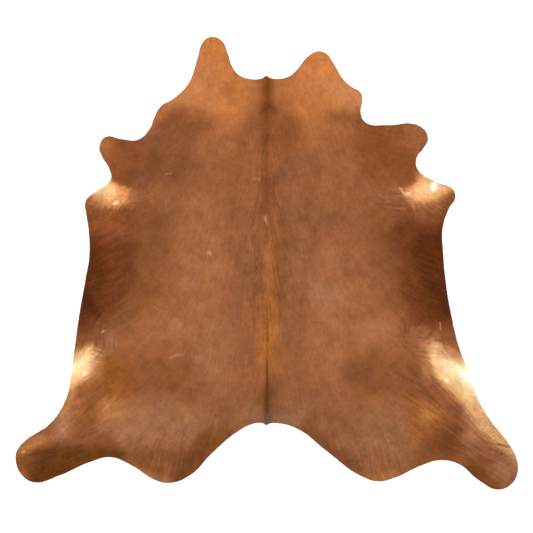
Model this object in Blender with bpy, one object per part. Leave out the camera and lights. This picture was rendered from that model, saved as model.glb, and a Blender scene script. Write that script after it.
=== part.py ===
"""Cowhide rug: one whole tanned hide with its hair on, laid flat with the flesh side down.

Blender's units are metres; the tables below are in millimetres. Seen from above, +X runs to the right of the
spine, +Y towards the neck and +Z up. The origin lies under the middle of the hide's box, on the surface that
it rests on. The hide is one sheet: nothing is sewn to it, and its edge is a plain cut.
"""

from math import cos, hypot, radians, sin, sqrt
from typing import NamedTuple

import bpy
from mathutils import Vector
from mathutils.geometry import delaunay_2d_cdt

MM = 0.001

# Driving dimensions, in millimetres.
LEATHER = 2.4  # the tanned skin, from its flesh side to the hair roots
COAT = 2.1  # the short hair, as it lies
GRID_PITCH = 48.0  # between the points inside the cut edge
EDGE_MARGIN = 26.0  # between those points and the cut edge
STEPS_PER_SPAN = 6  # points along the cut edge, from one landmark to the next

COAT_COLOUR = (0.27, 0.115, 0.045, 1.0)
COAT_ROUGHNESS = 0.45


class Landmark(NamedTuple):
    """A place on the cut edge, on the left and on the right half, as x and y from the middle of the hide."""

    name: str
    left: tuple[float, float]
    right: tuple[float, float]


class Hump(NamedTuple):
    """Loose skin that stands off the floor: an oval swelling, its long way turned by so many degrees from +X."""

    name: str
    x: float
    y: float
    half_length: float
    half_width: float
    turn: float
    height: float


NECK_POINT = (0, 824)
TAIL_POINT = (0, -711)

NECK_EDGE = (
    Landmark("beside the spine", (-22, 812), (16, 815)),
    Landmark("nape hollow", (-80, 812), (55, 811)),
    Landmark("cheek root", (-123, 830), (97, 821)),
    Landmark("cheek inner foot", (-151, 868), (132, 850)),
    Landmark("cheek inner side", (-169, 921), (163, 890)),
    Landmark("cheek inner corner", (-194, 976), (192, 917)),
    Landmark("cheek tip", (-238, 995), (228, 932)),
    Landmark("cheek outer corner", (-275, 978), (266, 919)),
    Landmark("cheek outer side", (-304, 893), (290, 887)),
    Landmark("throat", (-340, 795), (337, 809)),
)
FORELEG_EDGE = (
    Landmark("shoulder front", (-414, 720), (372, 777)),
    Landmark("shoulder point", (-463, 692), (412, 752)),
    Landmark("shoulder side", (-492, 640), (421, 720)),
    Landmark("above the foreleg", (-512, 592), (414, 655)),
    Landmark("foreleg hollow", (-560, 545), (438, 618)),
    Landmark("foreleg front edge", (-640, 547), (530, 608)),
    Landmark("foreleg front corner", (-704, 556), (662, 607)),
    Landmark("foreleg tip", (-734, 508), (709, 553)),
    Landmark("foreleg rear corner", (-719, 463), (689, 503)),
    Landmark("foreleg rear edge", (-692, 418), (660, 464)),
    Landmark("armpit", (-684, 365), (664, 412)),
    Landmark("elbow front", (-744, 317), (740, 358)),
    Landmark("elbow front corner", (-779, 293), (812, 330)),
    Landmark("elbow tip", (-797, 260), (829, 292)),
    Landmark("elbow rear corner", (-793, 226), (800, 238)),
)
BELLY_EDGE = (
    Landmark("girth", (-781, 142), (774, 155)),
    Landmark("belly front", (-778, 35), (776, 45)),
    Landmark("belly middle", (-794, -65), (788, -85)),
    Landmark("belly rear", (-822, -225), (812, -230)),
    Landmark("flank front", (-840, -360), (840, -350)),
    Landmark("flank", (-855, -480), (886, -485)),
    Landmark("stifle", (-882, -600), (935, -612)),
)
HIND_LEG_EDGE = (
    Landmark("hind leg outer side", (-945, -698), (982, -688)),
    Landmark("hind leg outer bend", (-1048, -770), (1065, -795)),
    Landmark("hock front", (-1090, -812), (1096, -852)),
    Landmark("hind tip", (-1102, -855), (1104, -905)),
    Landmark("hind tip rear corner", (-1066, -938), (1078, -967)),
    Landmark("hind tip inner corner", (-1012, -962), (1018, -993)),
    Landmark("hind leg inner side", (-905, -931), (930, -953)),
    Landmark("hind leg inner foot", (-770, -872), (846, -884)),
    Landmark("thigh hollow", (-688, -851), (768, -864)),
)
RUMP_EDGE = (
    Landmark("rump outer foot", (-590, -889), (680, -888)),
    Landmark("rump outer corner", (-491, -951), (560, -943)),
    Landmark("rump tip", (-429, -965), (490, -958)),
    Landmark("rump inner corner", (-340, -934), (410, -932)),
    Landmark("rump inner side", (-240, -835), (262, -823)),
    Landmark("rump inner foot", (-133, -744), (135, -727)),
    Landmark("tail root", (-45, -702), (50, -703)),
    Landmark("beside the tail", (-14, -704), (14, -704)),
)
EDGE = NECK_EDGE + FORELEG_EDGE + BELLY_EDGE + HIND_LEG_EDGE + RUMP_EDGE

HUMPS = (
    Hump("left armpit", -690, 322, 135, 75, 18, 9),
    Hump("right armpit", 712, 318, 145, 78, -16, 10),
    Hump("left flank", -803, -440, 160, 88, 49, 10),
    Hump("right flank", 838, -482, 215, 92, -52, 11),
)


def clear_scene() -> None:
    """Removes every object that the file opened with."""
    for found in list(bpy.data.objects):
        bpy.data.objects.remove(found)


def edge_landmarks() -> list[tuple[float, float]]:
    """The landmarks in order: down the right half from the neck to the tail, then up the left half."""
    right = [mark.right for mark in EDGE]
    left = [mark.left for mark in reversed(EDGE)]
    return [NECK_POINT, *right, TAIL_POINT, *left]


def cut_edge() -> list[Vector]:
    """The cut edge as a closed line: a smooth Bezier curve through the landmarks, centred on its own box."""
    curve = bpy.data.curves.new("cut edge", "CURVE")
    curve.dimensions = "3D"
    curve.resolution_u = STEPS_PER_SPAN
    marks = edge_landmarks()
    spline = curve.splines.new("BEZIER")
    spline.bezier_points.add(len(marks) - 1)
    spline.use_cyclic_u = True
    for point, (x, y) in zip(spline.bezier_points, marks):
        point.co = (x, y, 0)
        point.handle_left_type = "AUTO"
        point.handle_right_type = "AUTO"
    guide = bpy.data.objects.new("cut edge", curve)
    bpy.context.scene.collection.objects.link(guide)
    line = [vertex.co.xy for vertex in bpy.data.meshes.new_from_object(guide).vertices]
    bpy.data.objects.remove(guide)
    xs = [point.x for point in line]
    ys = [point.y for point in line]
    middle = Vector((min(xs) + max(xs), min(ys) + max(ys))) / 2
    return [point - middle for point in line]


def is_inside(x: float, y: float, edge: list[Vector]) -> bool:
    """Whether a point lies within the closed line, by counting the crossings to its right."""
    crossings = 0
    for a, b in zip(edge, edge[1:] + edge[:1]):
        if (a.y > y) != (b.y > y):
            crossings += x < a.x + (y - a.y) * (b.x - a.x) / (b.y - a.y)
    return crossings % 2 == 1


def inner_points(edge: list[Vector]) -> list[Vector]:
    """A staggered grid of points inside the cut edge, none of them close to it."""
    row_pitch = GRID_PITCH * sqrt(3) / 2
    half_columns = int(max(point.x for point in edge) / GRID_PITCH) + 1
    half_rows = int(max(point.y for point in edge) / row_pitch) + 1
    points = []
    for row in range(-half_rows, half_rows + 1):
        stagger = GRID_PITCH / 2 * (row % 2)
        for column in range(-half_columns, half_columns + 1):
            x = column * GRID_PITCH + stagger
            y = row * row_pitch
            gap = min(hypot(x - point.x, y - point.y) for point in edge)
            if gap > EDGE_MARGIN and is_inside(x, y, edge):
                points.append(Vector((x, y)))
    return points


def lift(x: float, y: float) -> float:
    """How high the flesh side stands off the floor: zero, except where loose skin humps up."""
    total = 0.0
    for hump in HUMPS:
        turn = radians(hump.turn)
        along = (x - hump.x) * cos(turn) + (y - hump.y) * sin(turn)
        across = (y - hump.y) * cos(turn) - (x - hump.x) * sin(turn)
        away = (along / hump.half_length) ** 2 + (across / hump.half_width) ** 2
        if away < 1:
            total += hump.height * (1 - away) ** 2
    return total


def coat_material() -> bpy.types.Material:
    """Short brown hair with a soft shine."""
    material = bpy.data.materials.new("coat")
    material.use_nodes = True
    shader = material.node_tree.nodes["Principled BSDF"]
    shader.inputs["Base Color"].default_value = COAT_COLOUR
    shader.inputs["Roughness"].default_value = COAT_ROUGHNESS
    shader.inputs["Metallic"].default_value = 0.0
    return material


def make_hide() -> bpy.types.Object:
    """The hide: its flesh side as a sheet of triangles, thickened upwards by the leather and the coat."""
    edge = cut_edge()
    points = edge + inner_points(edge)
    around = [(i, (i + 1) % len(edge)) for i in range(len(edge))]
    flat, _, faces, *_ = delaunay_2d_cdt(points, around, [], 1, 0.01)
    mesh = bpy.data.meshes.new("hide")
    mesh.from_pydata([(x * MM, y * MM, lift(x, y) * MM) for x, y in flat], [], faces)
    mesh.shade_smooth()
    mesh.materials.append(coat_material())
    hide = bpy.data.objects.new("hide", mesh)
    bpy.context.scene.collection.objects.link(hide)
    body = hide.modifiers.new("leather and coat", "SOLIDIFY")
    body.thickness = (LEATHER + COAT) * MM
    body.offset = 1.0
    return hide


clear_scene()
make_hide()
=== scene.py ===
"""Cowhide rug, dressed for its render: tanned leather, cut edge, suede flesh side and a coat of short hair.

The frame is in metres. Seen from above, +X runs to the right of the spine, +Y towards the neck and +Z up.
The tables of the coat's colours, its lie and its creases are in millimetres, from the middle of the hide.
"""

import logging
from collections.abc import Callable
from dataclasses import dataclass, field
from enum import Enum
from math import cos, hypot, radians, sin

import bpy
import bmesh
import numpy as np
from mathutils.geometry import delaunay_2d_cdt
from mathutils.kdtree import KDTree
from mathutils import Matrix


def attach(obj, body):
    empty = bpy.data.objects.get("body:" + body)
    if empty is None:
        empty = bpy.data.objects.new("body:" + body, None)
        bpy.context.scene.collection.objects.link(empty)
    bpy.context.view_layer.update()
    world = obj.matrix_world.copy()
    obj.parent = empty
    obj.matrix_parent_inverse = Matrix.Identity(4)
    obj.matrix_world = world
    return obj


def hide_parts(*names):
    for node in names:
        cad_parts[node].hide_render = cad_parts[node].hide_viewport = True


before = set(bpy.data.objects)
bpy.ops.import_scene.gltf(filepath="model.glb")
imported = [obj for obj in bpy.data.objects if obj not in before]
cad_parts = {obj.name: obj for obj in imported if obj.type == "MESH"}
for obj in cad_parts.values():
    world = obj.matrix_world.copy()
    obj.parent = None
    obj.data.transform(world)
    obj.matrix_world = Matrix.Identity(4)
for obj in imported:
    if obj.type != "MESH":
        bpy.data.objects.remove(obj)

LOG = logging.getLogger("cowhide_rug")
MM = 0.001
CAD_NODE = "hide"
BODY = "root"
BAKE_MAP = "OFBake"
MAP_MARGIN = 0.01
TRIANGLE_HEIGHT = 0.8660254
NOISE_SPAN = (0.28, 0.72)

Colour = tuple[float, float, float, float]
Place = tuple[float, float]


# ----------------------------------------------------------------------------------------------------------
# Soft shapes and soft noise
# ----------------------------------------------------------------------------------------------------------


def fade(amount: np.ndarray) -> np.ndarray:
    """Eases from 0 to 1, flat at both ends, with the amounts held between them."""
    held = np.clip(amount, 0.0, 1.0)
    return held * held * (3.0 - 2.0 * held)


def soft_rim(away: np.ndarray, softness: float) -> np.ndarray:
    """How much there is of a mark, 1 inside and 0 outside, at distances where its own size is 1."""
    return fade((1 + softness - away) / (2 * softness))


def between(lattice: np.ndarray, cells: np.ndarray, eased: bool) -> np.ndarray:
    """Values between the points of a square lattice.

    Args:
        lattice: The values at its points.
        cells: Rows of two numbers: how many cells along each way a place is.
        eased: Whether the values ease from point to point, or run straight.

    Returns:
        One value for each row.
    """
    low = np.clip(np.floor(cells).astype(int), 0, np.array(lattice.shape) - 2)
    part = np.clip(cells - low, 0, 1)
    u, v = (fade(part) if eased else part).T
    i, j = low.T
    near = lattice[i, j] * (1 - u) + lattice[i + 1, j] * u
    far = lattice[i, j + 1] * (1 - u) + lattice[i + 1, j + 1] * u
    return near * (1 - v) + far * v


@dataclass(frozen=True)
class SoftNoise:
    """Smooth random values, up to a depth above and below zero, a cell of so many millimetres apart."""

    cell: float
    seed: int
    depth: float = 1.0
    half_span: float = 1400.0

    def at(self, places: np.ndarray) -> np.ndarray:
        """The values at some places.

        Args:
            places: Rows of x and y in millimetres.

        Returns:
            One value for each row.
        """
        count = int(2 * self.half_span / self.cell) + 3
        lattice = np.random.default_rng(self.seed).random((count, count)) * 2 - 1
        return self.depth * between(lattice, (places + self.half_span) / self.cell, eased=True)


@dataclass(frozen=True)
class Oval:
    """An oval place on the hide, its long way turned by so many degrees from +X."""

    name: str
    x: float
    y: float
    half_length: float
    half_width: float
    turn: float

    def away_squared(self, places: np.ndarray) -> np.ndarray:
        """How far some places are from the middle, squared: 1 on the oval's rim.

        Args:
            places: Rows of x and y in millimetres.

        Returns:
            One number for each row.
        """
        turn = radians(self.turn)
        away_x = places[:, 0] - self.x
        away_y = places[:, 1] - self.y
        along = (away_x * cos(turn) + away_y * sin(turn)) / self.half_length
        across = (away_y * cos(turn) - away_x * sin(turn)) / self.half_width
        return along * along + across * across


@dataclass(frozen=True)
class Stroke:
    """A straight stroke on the hide from one place to another."""

    name: str
    start: Place
    end: Place
    half_width: float

    def away(self, places: np.ndarray) -> np.ndarray:
        """How far some places are from the stroke, in millimetres.

        Args:
            places: Rows of x and y in millimetres.

        Returns:
            One distance for each row.
        """
        start = np.array(self.start, dtype=float)
        run = np.array(self.end, dtype=float) - start
        from_start = places - start
        part = np.clip(from_start @ run / max(run @ run, 1e-9), 0, 1)
        return np.hypot(*(from_start - part[:, None] * run).T)


# ----------------------------------------------------------------------------------------------------------
# The way the hair lies
# ----------------------------------------------------------------------------------------------------------


@dataclass(frozen=True)
class LieMark(Oval):
    """An oval in which the hair lies towards a heading of its own, in degrees from +X."""

    heading: float
    strength: float = 1.0
    softness: float = 0.8

    def weight(self, places: np.ndarray) -> np.ndarray:
        """How much this mark turns the hair at some places, from 0 to 1."""
        return self.strength * soft_rim(np.sqrt(self.away_squared(places)), self.softness)


@dataclass(frozen=True)
class Whorl:
    """A place that the hair turns about: to the left of its heading where the spin is above zero."""

    name: str
    x: float
    y: float
    radius: float
    spin: float
    calm_part: float = 0.4

    def turned(self, places: np.ndarray) -> np.ndarray:
        """How much the whorl adds to the hair's heading at some places.

        Args:
            places: Rows of x and y in millimetres.

        Returns:
            Rows of x and y that point round the whorl, and are zero in its middle and far away.
        """
        away = places - np.array([self.x, self.y])
        far = np.hypot(*away.T)
        round_it = np.stack([-away[:, 1], away[:, 0]], axis=1) / np.maximum(far, 1.0)[:, None]
        weight = self.spin * fade(2 - far / self.radius) * fade(far / (self.calm_part * self.radius))
        return weight[:, None] * round_it


@dataclass(frozen=True)
class HairLie:
    """Where the hair points: back along the spine, out over the sides, and down each leg."""

    at_spine: float = 7.0
    at_edge: float = 68.0
    half_width: float = 860.0
    spine_half_width: float = 12.0
    sways: tuple[SoftNoise, ...] = (SoftNoise(160, 21, 7.0), SoftNoise(50, 22, 4.0))
    marks: tuple[LieMark, ...] = (
        LieMark("left foreleg", -660, 500, 130, 70, 0, 185),
        LieMark("right foreleg", 640, 550, 130, 70, 0, -5),
        LieMark("left elbow", -770, 280, 80, 60, 0, 215),
        LieMark("right elbow", 790, 300, 80, 60, 0, -30),
        LieMark("left flank, above", -790, -330, 110, 60, 60, 262, 0.9),
        LieMark("right flank, above", 800, -330, 110, 60, 120, 278, 0.9),
        LieMark("left thigh", -820, -620, 200, 110, 30, 225, 0.9),
        LieMark("right thigh", 870, -640, 220, 100, -45, -50, 0.9),
        LieMark("left hind leg", -980, -840, 170, 80, 20, 204),
        LieMark("right hind leg", 1020, -890, 170, 80, -30, -32),
        LieMark("left rump lobe", -420, -880, 160, 110, 0, 262, 0.9),
        LieMark("right rump lobe", 480, -880, 160, 110, 0, 278, 0.9),
    )
    whorls: tuple[Whorl, ...] = (
        Whorl("right flank whorl", 660, -322, 60, 1.2),
        Whorl("left flank whorl", -705, -395, 50, -0.8),
        Whorl("right armpit whorl", 610, 255, 70, -0.7),
        Whorl("left armpit whorl", -600, 262, 60, 0.7),
    )

    def at(self, places: np.ndarray) -> np.ndarray:
        """The hair's heading at some places.

        Args:
            places: Rows of x and y in millimetres.

        Returns:
            Rows of unit vectors in the plane.
        """
        outward = fade(np.abs(places[:, 0]) / self.half_width)
        sway = sum(noise.at(places) for noise in self.sways)
        angle = np.radians(self.at_spine + (self.at_edge - self.at_spine) * outward + sway)
        side = np.clip(places[:, 0] / self.spine_half_width, -1, 1)
        way = np.stack([side * np.sin(angle), -np.cos(angle)], axis=1)
        for mark in self.marks:
            heading = radians(mark.heading)
            way += mark.weight(places)[:, None] * (np.array([cos(heading), sin(heading)]) - way)
        for whorl in self.whorls:
            way += whorl.turned(places)
        return way / np.maximum(np.hypot(*way.T), 1e-6)[:, None]


@dataclass
class HairStreaks:
    """Streaks along the lie of the hair, or ripples across it: fine random values, averaged that way."""

    lie: HairLie
    pitch: float = 4.0
    half_run: int = 9
    seed: int = 31
    across_hair: bool = False
    half_span: tuple[float, float] = (1160.0, 1040.0)
    values: np.ndarray = field(init=False)

    def __post_init__(self) -> None:
        """Makes the field of streaks once."""
        columns, rows = (np.arange(-half, half + self.pitch, self.pitch) for half in self.half_span)
        places = np.stack(np.meshgrid(columns, rows, indexing="ij"), axis=-1)
        shape = places.shape[:2]
        way = self.lie.at(places.reshape(-1, 2)).reshape(*shape, 2)
        if self.across_hair:
            way = np.stack([-way[..., 1], way[..., 0]], axis=-1)
        grain = np.random.default_rng(self.seed).random(shape)
        total = grain.copy()
        first = np.stack(np.indices(shape), axis=-1)
        for direction in (1.0, -1.0):
            at = first.astype(float)
            for _ in range(self.half_run):
                i = np.clip(np.rint(at[..., 0]).astype(int), 0, shape[0] - 1)
                j = np.clip(np.rint(at[..., 1]).astype(int), 0, shape[1] - 1)
                at += direction * way[i, j]
                total += grain[i, j]
        self.values = (total - total.mean()) / total.std()

    def at(self, places: np.ndarray) -> np.ndarray:
        """The streak at some places: about -2 to 2, and 0 on average."""
        return between(self.values, (places + np.array(self.half_span)) / self.pitch, eased=False)


# ----------------------------------------------------------------------------------------------------------
# Colours of the coat
# ----------------------------------------------------------------------------------------------------------


class Tone(Enum):
    """The coat's colours as an eye sees them in plain light, each part from 0 to 255, with one white that is
    painted highlight.
    """

    BAY = (155, 95, 57)
    FAWN = (197, 121, 69)
    AMBER = (213, 125, 60)
    PALE_FAWN = (212, 138, 84)
    COPPER = (176, 108, 62)
    RUSSET = (137, 77, 40)
    PLUM = (139, 83, 53)
    BRICK = (115, 60, 31)
    LIVER = (95, 48, 19)
    UMBER = (62, 30, 8)
    WALNUT = (106, 60, 27)
    NUT = (136, 82, 46)
    ROSE = (170, 110, 71)
    BLUSH = (180, 125, 86)
    FALLOW = (161, 108, 72)
    DUN = (152, 101, 67)
    DOVE = (156, 110, 84)
    GOLD = (230, 160, 90)
    DUSK = (146, 91, 57)
    OCHRE = (167, 102, 50)
    GINGER = (148, 86, 39)
    STRAW = (188, 127, 75)
    APRICOT = (210, 156, 102)
    HONEY = (238, 184, 118)
    CREAM = (251, 219, 163)
    # Painted highlight: the white where light glints off the glossy pale hair.
    IVORY = (255, 247, 224)
    ASH = (100, 82, 80)
    BARK = (122, 66, 34)

    def linear(self) -> np.ndarray:
        """The colour as three linear parts from 0 to 1."""
        seen = np.array(self.value) / 255.0
        return np.where(seen <= 0.04045, seen / 12.92, ((seen + 0.055) / 1.055) ** 2.4)


@dataclass(frozen=True)
class Patch(Oval):
    """An oval of colour in the coat."""

    tone: Tone
    strength: float = 1.0
    softness: float = 0.9
    gloss: float = 0.0
    ragged: float = 0.0

    def weight(self, places: np.ndarray, streak: np.ndarray) -> np.ndarray:
        """How much of this colour lies at some places, its ragged rim drawn out by the streaks."""
        away = np.sqrt(self.away_squared(places)) + self.ragged * streak
        return self.strength * soft_rim(away, self.softness)


@dataclass(frozen=True)
class Line(Stroke):
    """A line of colour in the coat, as a scar leaves it, or painted highlight and shade along a crease."""

    tone: Tone
    strength: float = 1.0
    softness: float = 0.9
    gloss: float = 0.0
    ragged: float = 0.05

    def weight(self, places: np.ndarray, streak: np.ndarray) -> np.ndarray:
        """How much of this colour lies at some places, its rim frayed a little by the streaks."""
        away = self.away(places) / self.half_width + self.ragged * streak
        return self.strength * soft_rim(away, self.softness)


@dataclass(frozen=True)
class Wash:
    """A stretch of colour between corners of its own, whose edge fades out over so many millimetres."""

    name: str
    corners: tuple[Place, ...]
    tone: Tone
    strength: float = 1.0
    fading: float = 50.0
    gloss: float = 0.0
    ragged: float = 0.0

    def depth(self, places: np.ndarray) -> np.ndarray:
        """How deep some places lie within the corners, in millimetres, and below zero outside them.

        Args:
            places: Rows of x and y in millimetres.

        Returns:
            One depth for each row.
        """
        corners = np.array(self.corners, dtype=float)
        nearest = np.full(len(places), np.inf)
        within = np.zeros(len(places), dtype=bool)
        for start, end in zip(corners, np.roll(corners, -1, axis=0)):
            run = end - start
            away = places - start
            part = np.clip(away @ run / (run @ run), 0, 1)
            nearest = np.minimum(nearest, np.hypot(*(away - part[:, None] * run).T))
            level = (start[1] > places[:, 1]) != (end[1] > places[:, 1])
            slope = run[0] / run[1] if run[1] else 0.0
            within ^= level & (away[:, 0] < away[:, 1] * slope)
        return np.where(within, nearest, -nearest)

    def weight(self, places: np.ndarray, streak: np.ndarray) -> np.ndarray:
        """How much of this colour lies at some places.

        Args:
            places: Rows of x and y in millimetres.
            streak: How light the streak of hair is at each, which draws a ragged edge out along the hair.

        Returns:
            One weight from 0 to 1 for each row.
        """
        reach = 0.5 * self.fading + 3 * self.ragged
        low = np.min(self.corners, axis=0) - reach
        high = np.max(self.corners, axis=0) + reach
        near = np.all((places > low) & (places < high), axis=1)
        found = np.zeros(len(places))
        depth = self.depth(places[near]) + self.ragged * streak[near]
        found[near] = self.strength * fade(0.5 + depth / self.fading)
        return found


NECK = (
    Wash(
        "neck",
        (
            (-469, 666), (-398, 688), (-341, 683), (-297, 666), (-249, 648), (-205, 597), (-130, 604),
            (-90, 666), (-46, 723), (7, 690), (64, 708), (112, 644), (161, 582), (200, 578),
            (235, 604), (271, 657), (323, 674), (376, 688), (447, 692), (477, 740), (411, 1026),
            (-381, 1026), (-513, 982), (-513, 718),
        ),
        Tone.FAWN, 1.0, 96,
    ),
    Patch("left cheek end", -250, 975, 80, 70, 0, Tone.AMBER, 0.7),
    Patch("right cheek end", 232, 915, 90, 60, 0, Tone.AMBER, 0.4),
    Patch("left cheek, light", -330, 762, 70, 46, 20, Tone.PALE_FAWN, 0.9),
    Patch("left cheek, outer end", -285, 950, 50, 30, 80, Tone.PALE_FAWN, 0.6),
    Patch("left cheek, middle", -240, 900, 90, 70, 90, Tone.PALE_FAWN, 0.35),
    Patch("left neck, light", -240, 705, 70, 46, 0, Tone.PALE_FAWN, 0.3),
    Patch("left neck, russet", -150, 735, 45, 45, 0, Tone.COPPER, 0.4),
    Patch("right cheek, middle", 240, 850, 90, 80, 0, Tone.PALE_FAWN, 0.45),
    Patch("right jaw", 352, 745, 90, 55, -20, Tone.PALE_FAWN, 0.95, 0.8),
    Patch("left throat", -368, 608, 88, 42, -8, Tone.RUSSET, 0.55),
    Patch("left throat, upper", -410, 665, 60, 30, 0, Tone.RUSSET, 0.15),
    Patch("left throat edge", -478, 655, 65, 24, 62, Tone.COPPER, 0.8, 0.7),
    Patch("right throat", 380, 620, 85, 42, 0, Tone.RUSSET, 0.35),
    Patch("nape, right side", 62, 765, 80, 44, 90, Tone.COPPER, 0.95, 0.8),
    Patch("nape, left side", -52, 765, 80, 30, 90, Tone.COPPER, 0.7),
    Patch("right of the neck, high", 215, 700, 60, 40, 0, Tone.COPPER, 0.4),
    Patch("right of the neck", 225, 570, 125, 60, 0, Tone.COPPER, 0.6),
    Patch("left of the neck", -205, 545, 95, 70, 0, Tone.COPPER, 0.4),
)
SHOULDERS = (
    Wash(
        "left shoulder",
        (
            (-565, 573), (-447, 591), (-337, 578), (-306, 507), (-310, 432), (-350, 366), (-469, 327),
            (-557, 340), (-636, 402), (-662, 463), (-636, 507),
        ),
        Tone.PLUM, 1.0, 110,
    ),
    Patch("left shoulder, dark", -510, 445, 70, 60, 0, Tone.RUSSET, 0.4),
    Wash(
        "left foreleg",
        ((-662, 580), (-574, 545), (-545, 463), (-565, 384), (-645, 345), (-725, 384)),
        Tone.RUSSET, 0.9, 80,
    ),
    Patch("left foreleg tip", -706, 514, 46, 40, 0, Tone.COPPER, 0.6, 0.8),
    Wash(
        "right shoulder",
        (
            (398, 578), (447, 650), (579, 650), (600, 542), (649, 498), (675, 446), (640, 384),
            (565, 350), (477, 345), (420, 375), (392, 490),
        ),
        Tone.RUSSET, 0.8, 90,
    ),
    Patch("right of the withers", 70, 570, 95, 60, 90, Tone.RUSSET, 0.62),
    Patch("right of the withers, low", 40, 320, 70, 34, 90, Tone.NUT, 0.35),
    Patch("left of the withers", -70, 350, 110, 50, 90, Tone.COPPER, 0.3),
    Patch("left ribs, front", -330, 290, 150, 50, 0, Tone.ROSE, 0.3),
)
BELLY = (
    Wash(
        "left girth",
        (
            (-843, 250), (-720, 240), (-623, 262), (-513, 255), (-440, 215), (-432, 124), (-455, 6),
            (-480, -118), (-515, -216), (-570, -280), (-640, -330), (-700, -350), (-880, -360),
        ),
        Tone.NUT, 1.0, 120, 0, 4,
    ),
    Wash(
        "left belly",
        (
            (-843, 125), (-697, 165), (-612, 150), (-560, 89), (-565, 6), (-590, -109), (-635, -185),
            (-690, -250), (-865, -290),
        ),
        Tone.BRICK, 1.0, 95, 0, 5,
    ),
    Wash(
        "left belly edge",
        (
            (-880, 95), (-755, 107), (-711, 58), (-697, -30), (-706, -118), (-737, -188),
            (-794, -236), (-890, -250),
        ),
        Tone.LIVER, 1.0, 80, 0, 5,
    ),
    Patch("left belly, darkest", -768, -165, 60, 26, -60, Tone.UMBER, 0.6, 0.9, 0, 0.12),
    Patch("left girth, front", -700, 195, 110, 60, -10, Tone.RUSSET, 0.8),
    Patch("left girth strip", -712, 200, 50, 20, 55, Tone.GINGER, 0.4),
    Wash(
        "right girth",
        (
            (450, 217), (521, 262), (640, 245), (711, 225), (829, 240), (860, -330), (799, -325),
            (719, -318), (653, -325), (586, -305), (538, -232), (505, -153), (490, -30),
            (475, 58), (450, 138),
        ),
        Tone.NUT, 1.0, 110, 0, 4,
    ),
    Wash(
        "right belly",
        (
            (543, 164), (587, 195), (719, 190), (860, 203), (890, -259), (763, -263), (697, -276),
            (640, -241), (605, -179), (587, -96), (574, -12), (543, 58), (530, 111),
        ),
        Tone.BRICK, 1.0, 85, 0, 5,
    ),
    Wash(
        "right belly edge",
        (
            (860, 170), (755, 160), (693, 135), (631, 98), (623, 32), (658, -56), (675, -140),
            (711, -210), (772, -236), (890, -232),
        ),
        Tone.LIVER, 1.0, 80, 0, 5,
    ),
    Patch("right belly, darkest", 765, -165, 70, 26, 80, Tone.UMBER, 0.35, 0.9, 0, 0.12),
    Patch("right belly, dark front", 770, 100, 50, 24, 90, Tone.UMBER, 0.3),
    Patch("left ribs", -285, -20, 300, 90, 90, Tone.ROSE, 0.75),
    Patch("left ribs, pale", -255, 35, 70, 60, 0, Tone.ROSE, 0.6),
    Patch("left ribs, back", -440, -275, 60, 40, 0, Tone.ROSE, 0.4),
    Patch("left ribs, low", -508, -184, 50, 44, 0, Tone.COPPER, 0.4),
    Patch("left loin", -249, -448, 60, 36, 0, Tone.COPPER, 0.35),
    Patch("left girth, front", -650, 165, 80, 46, 0, Tone.RUSSET, 0.7),
    Patch("left flank ribs", -440, -275, 140, 55, 0, Tone.ROSE, 0.5),
    Patch("left loin, pale", -240, -450, 110, 62, 100, Tone.FALLOW, 0.8),
    Patch("left back, pale", -190, -330, 90, 60, 80, Tone.FALLOW, 0.6),
    Patch("right ribs", 275, -150, 190, 90, 80, Tone.ROSE, 0.7),
    Patch("right ribs, pale", 245, -125, 80, 56, 0, Tone.BLUSH, 0.45),
    Patch("right ribs, front", 230, 40, 120, 45, 0, Tone.ROSE, 0.5),
    Patch("right withers", 147, 432, 44, 40, 0, Tone.ROSE, 0.4),
    Patch("right neck, low", 279, 606, 46, 40, 0, Tone.COPPER, 0.5),
    Patch("right ribs, back", 480, -285, 90, 60, 0, Tone.ROSE, 0.6),
    Patch("right loin, golden", 285, -410, 150, 45, 95, Tone.ROSE, 0.65),
    Patch("left of the spine", -100, 20, 290, 60, 90, Tone.DUSK, 0.8),
    Patch("right of the spine", 125, 110, 250, 70, 90, Tone.DUSK, 0.9),
    Patch("right girth, inner", 270, 205, 110, 45, 0, Tone.DUSK, 0.7),
    Patch("right of the spine, back", 120, -250, 150, 40, 90, Tone.DUSK, 0.5),
    Patch("right of the back, pale", 148, 20, 90, 34, 90, Tone.ROSE, 0.45),
)
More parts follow.
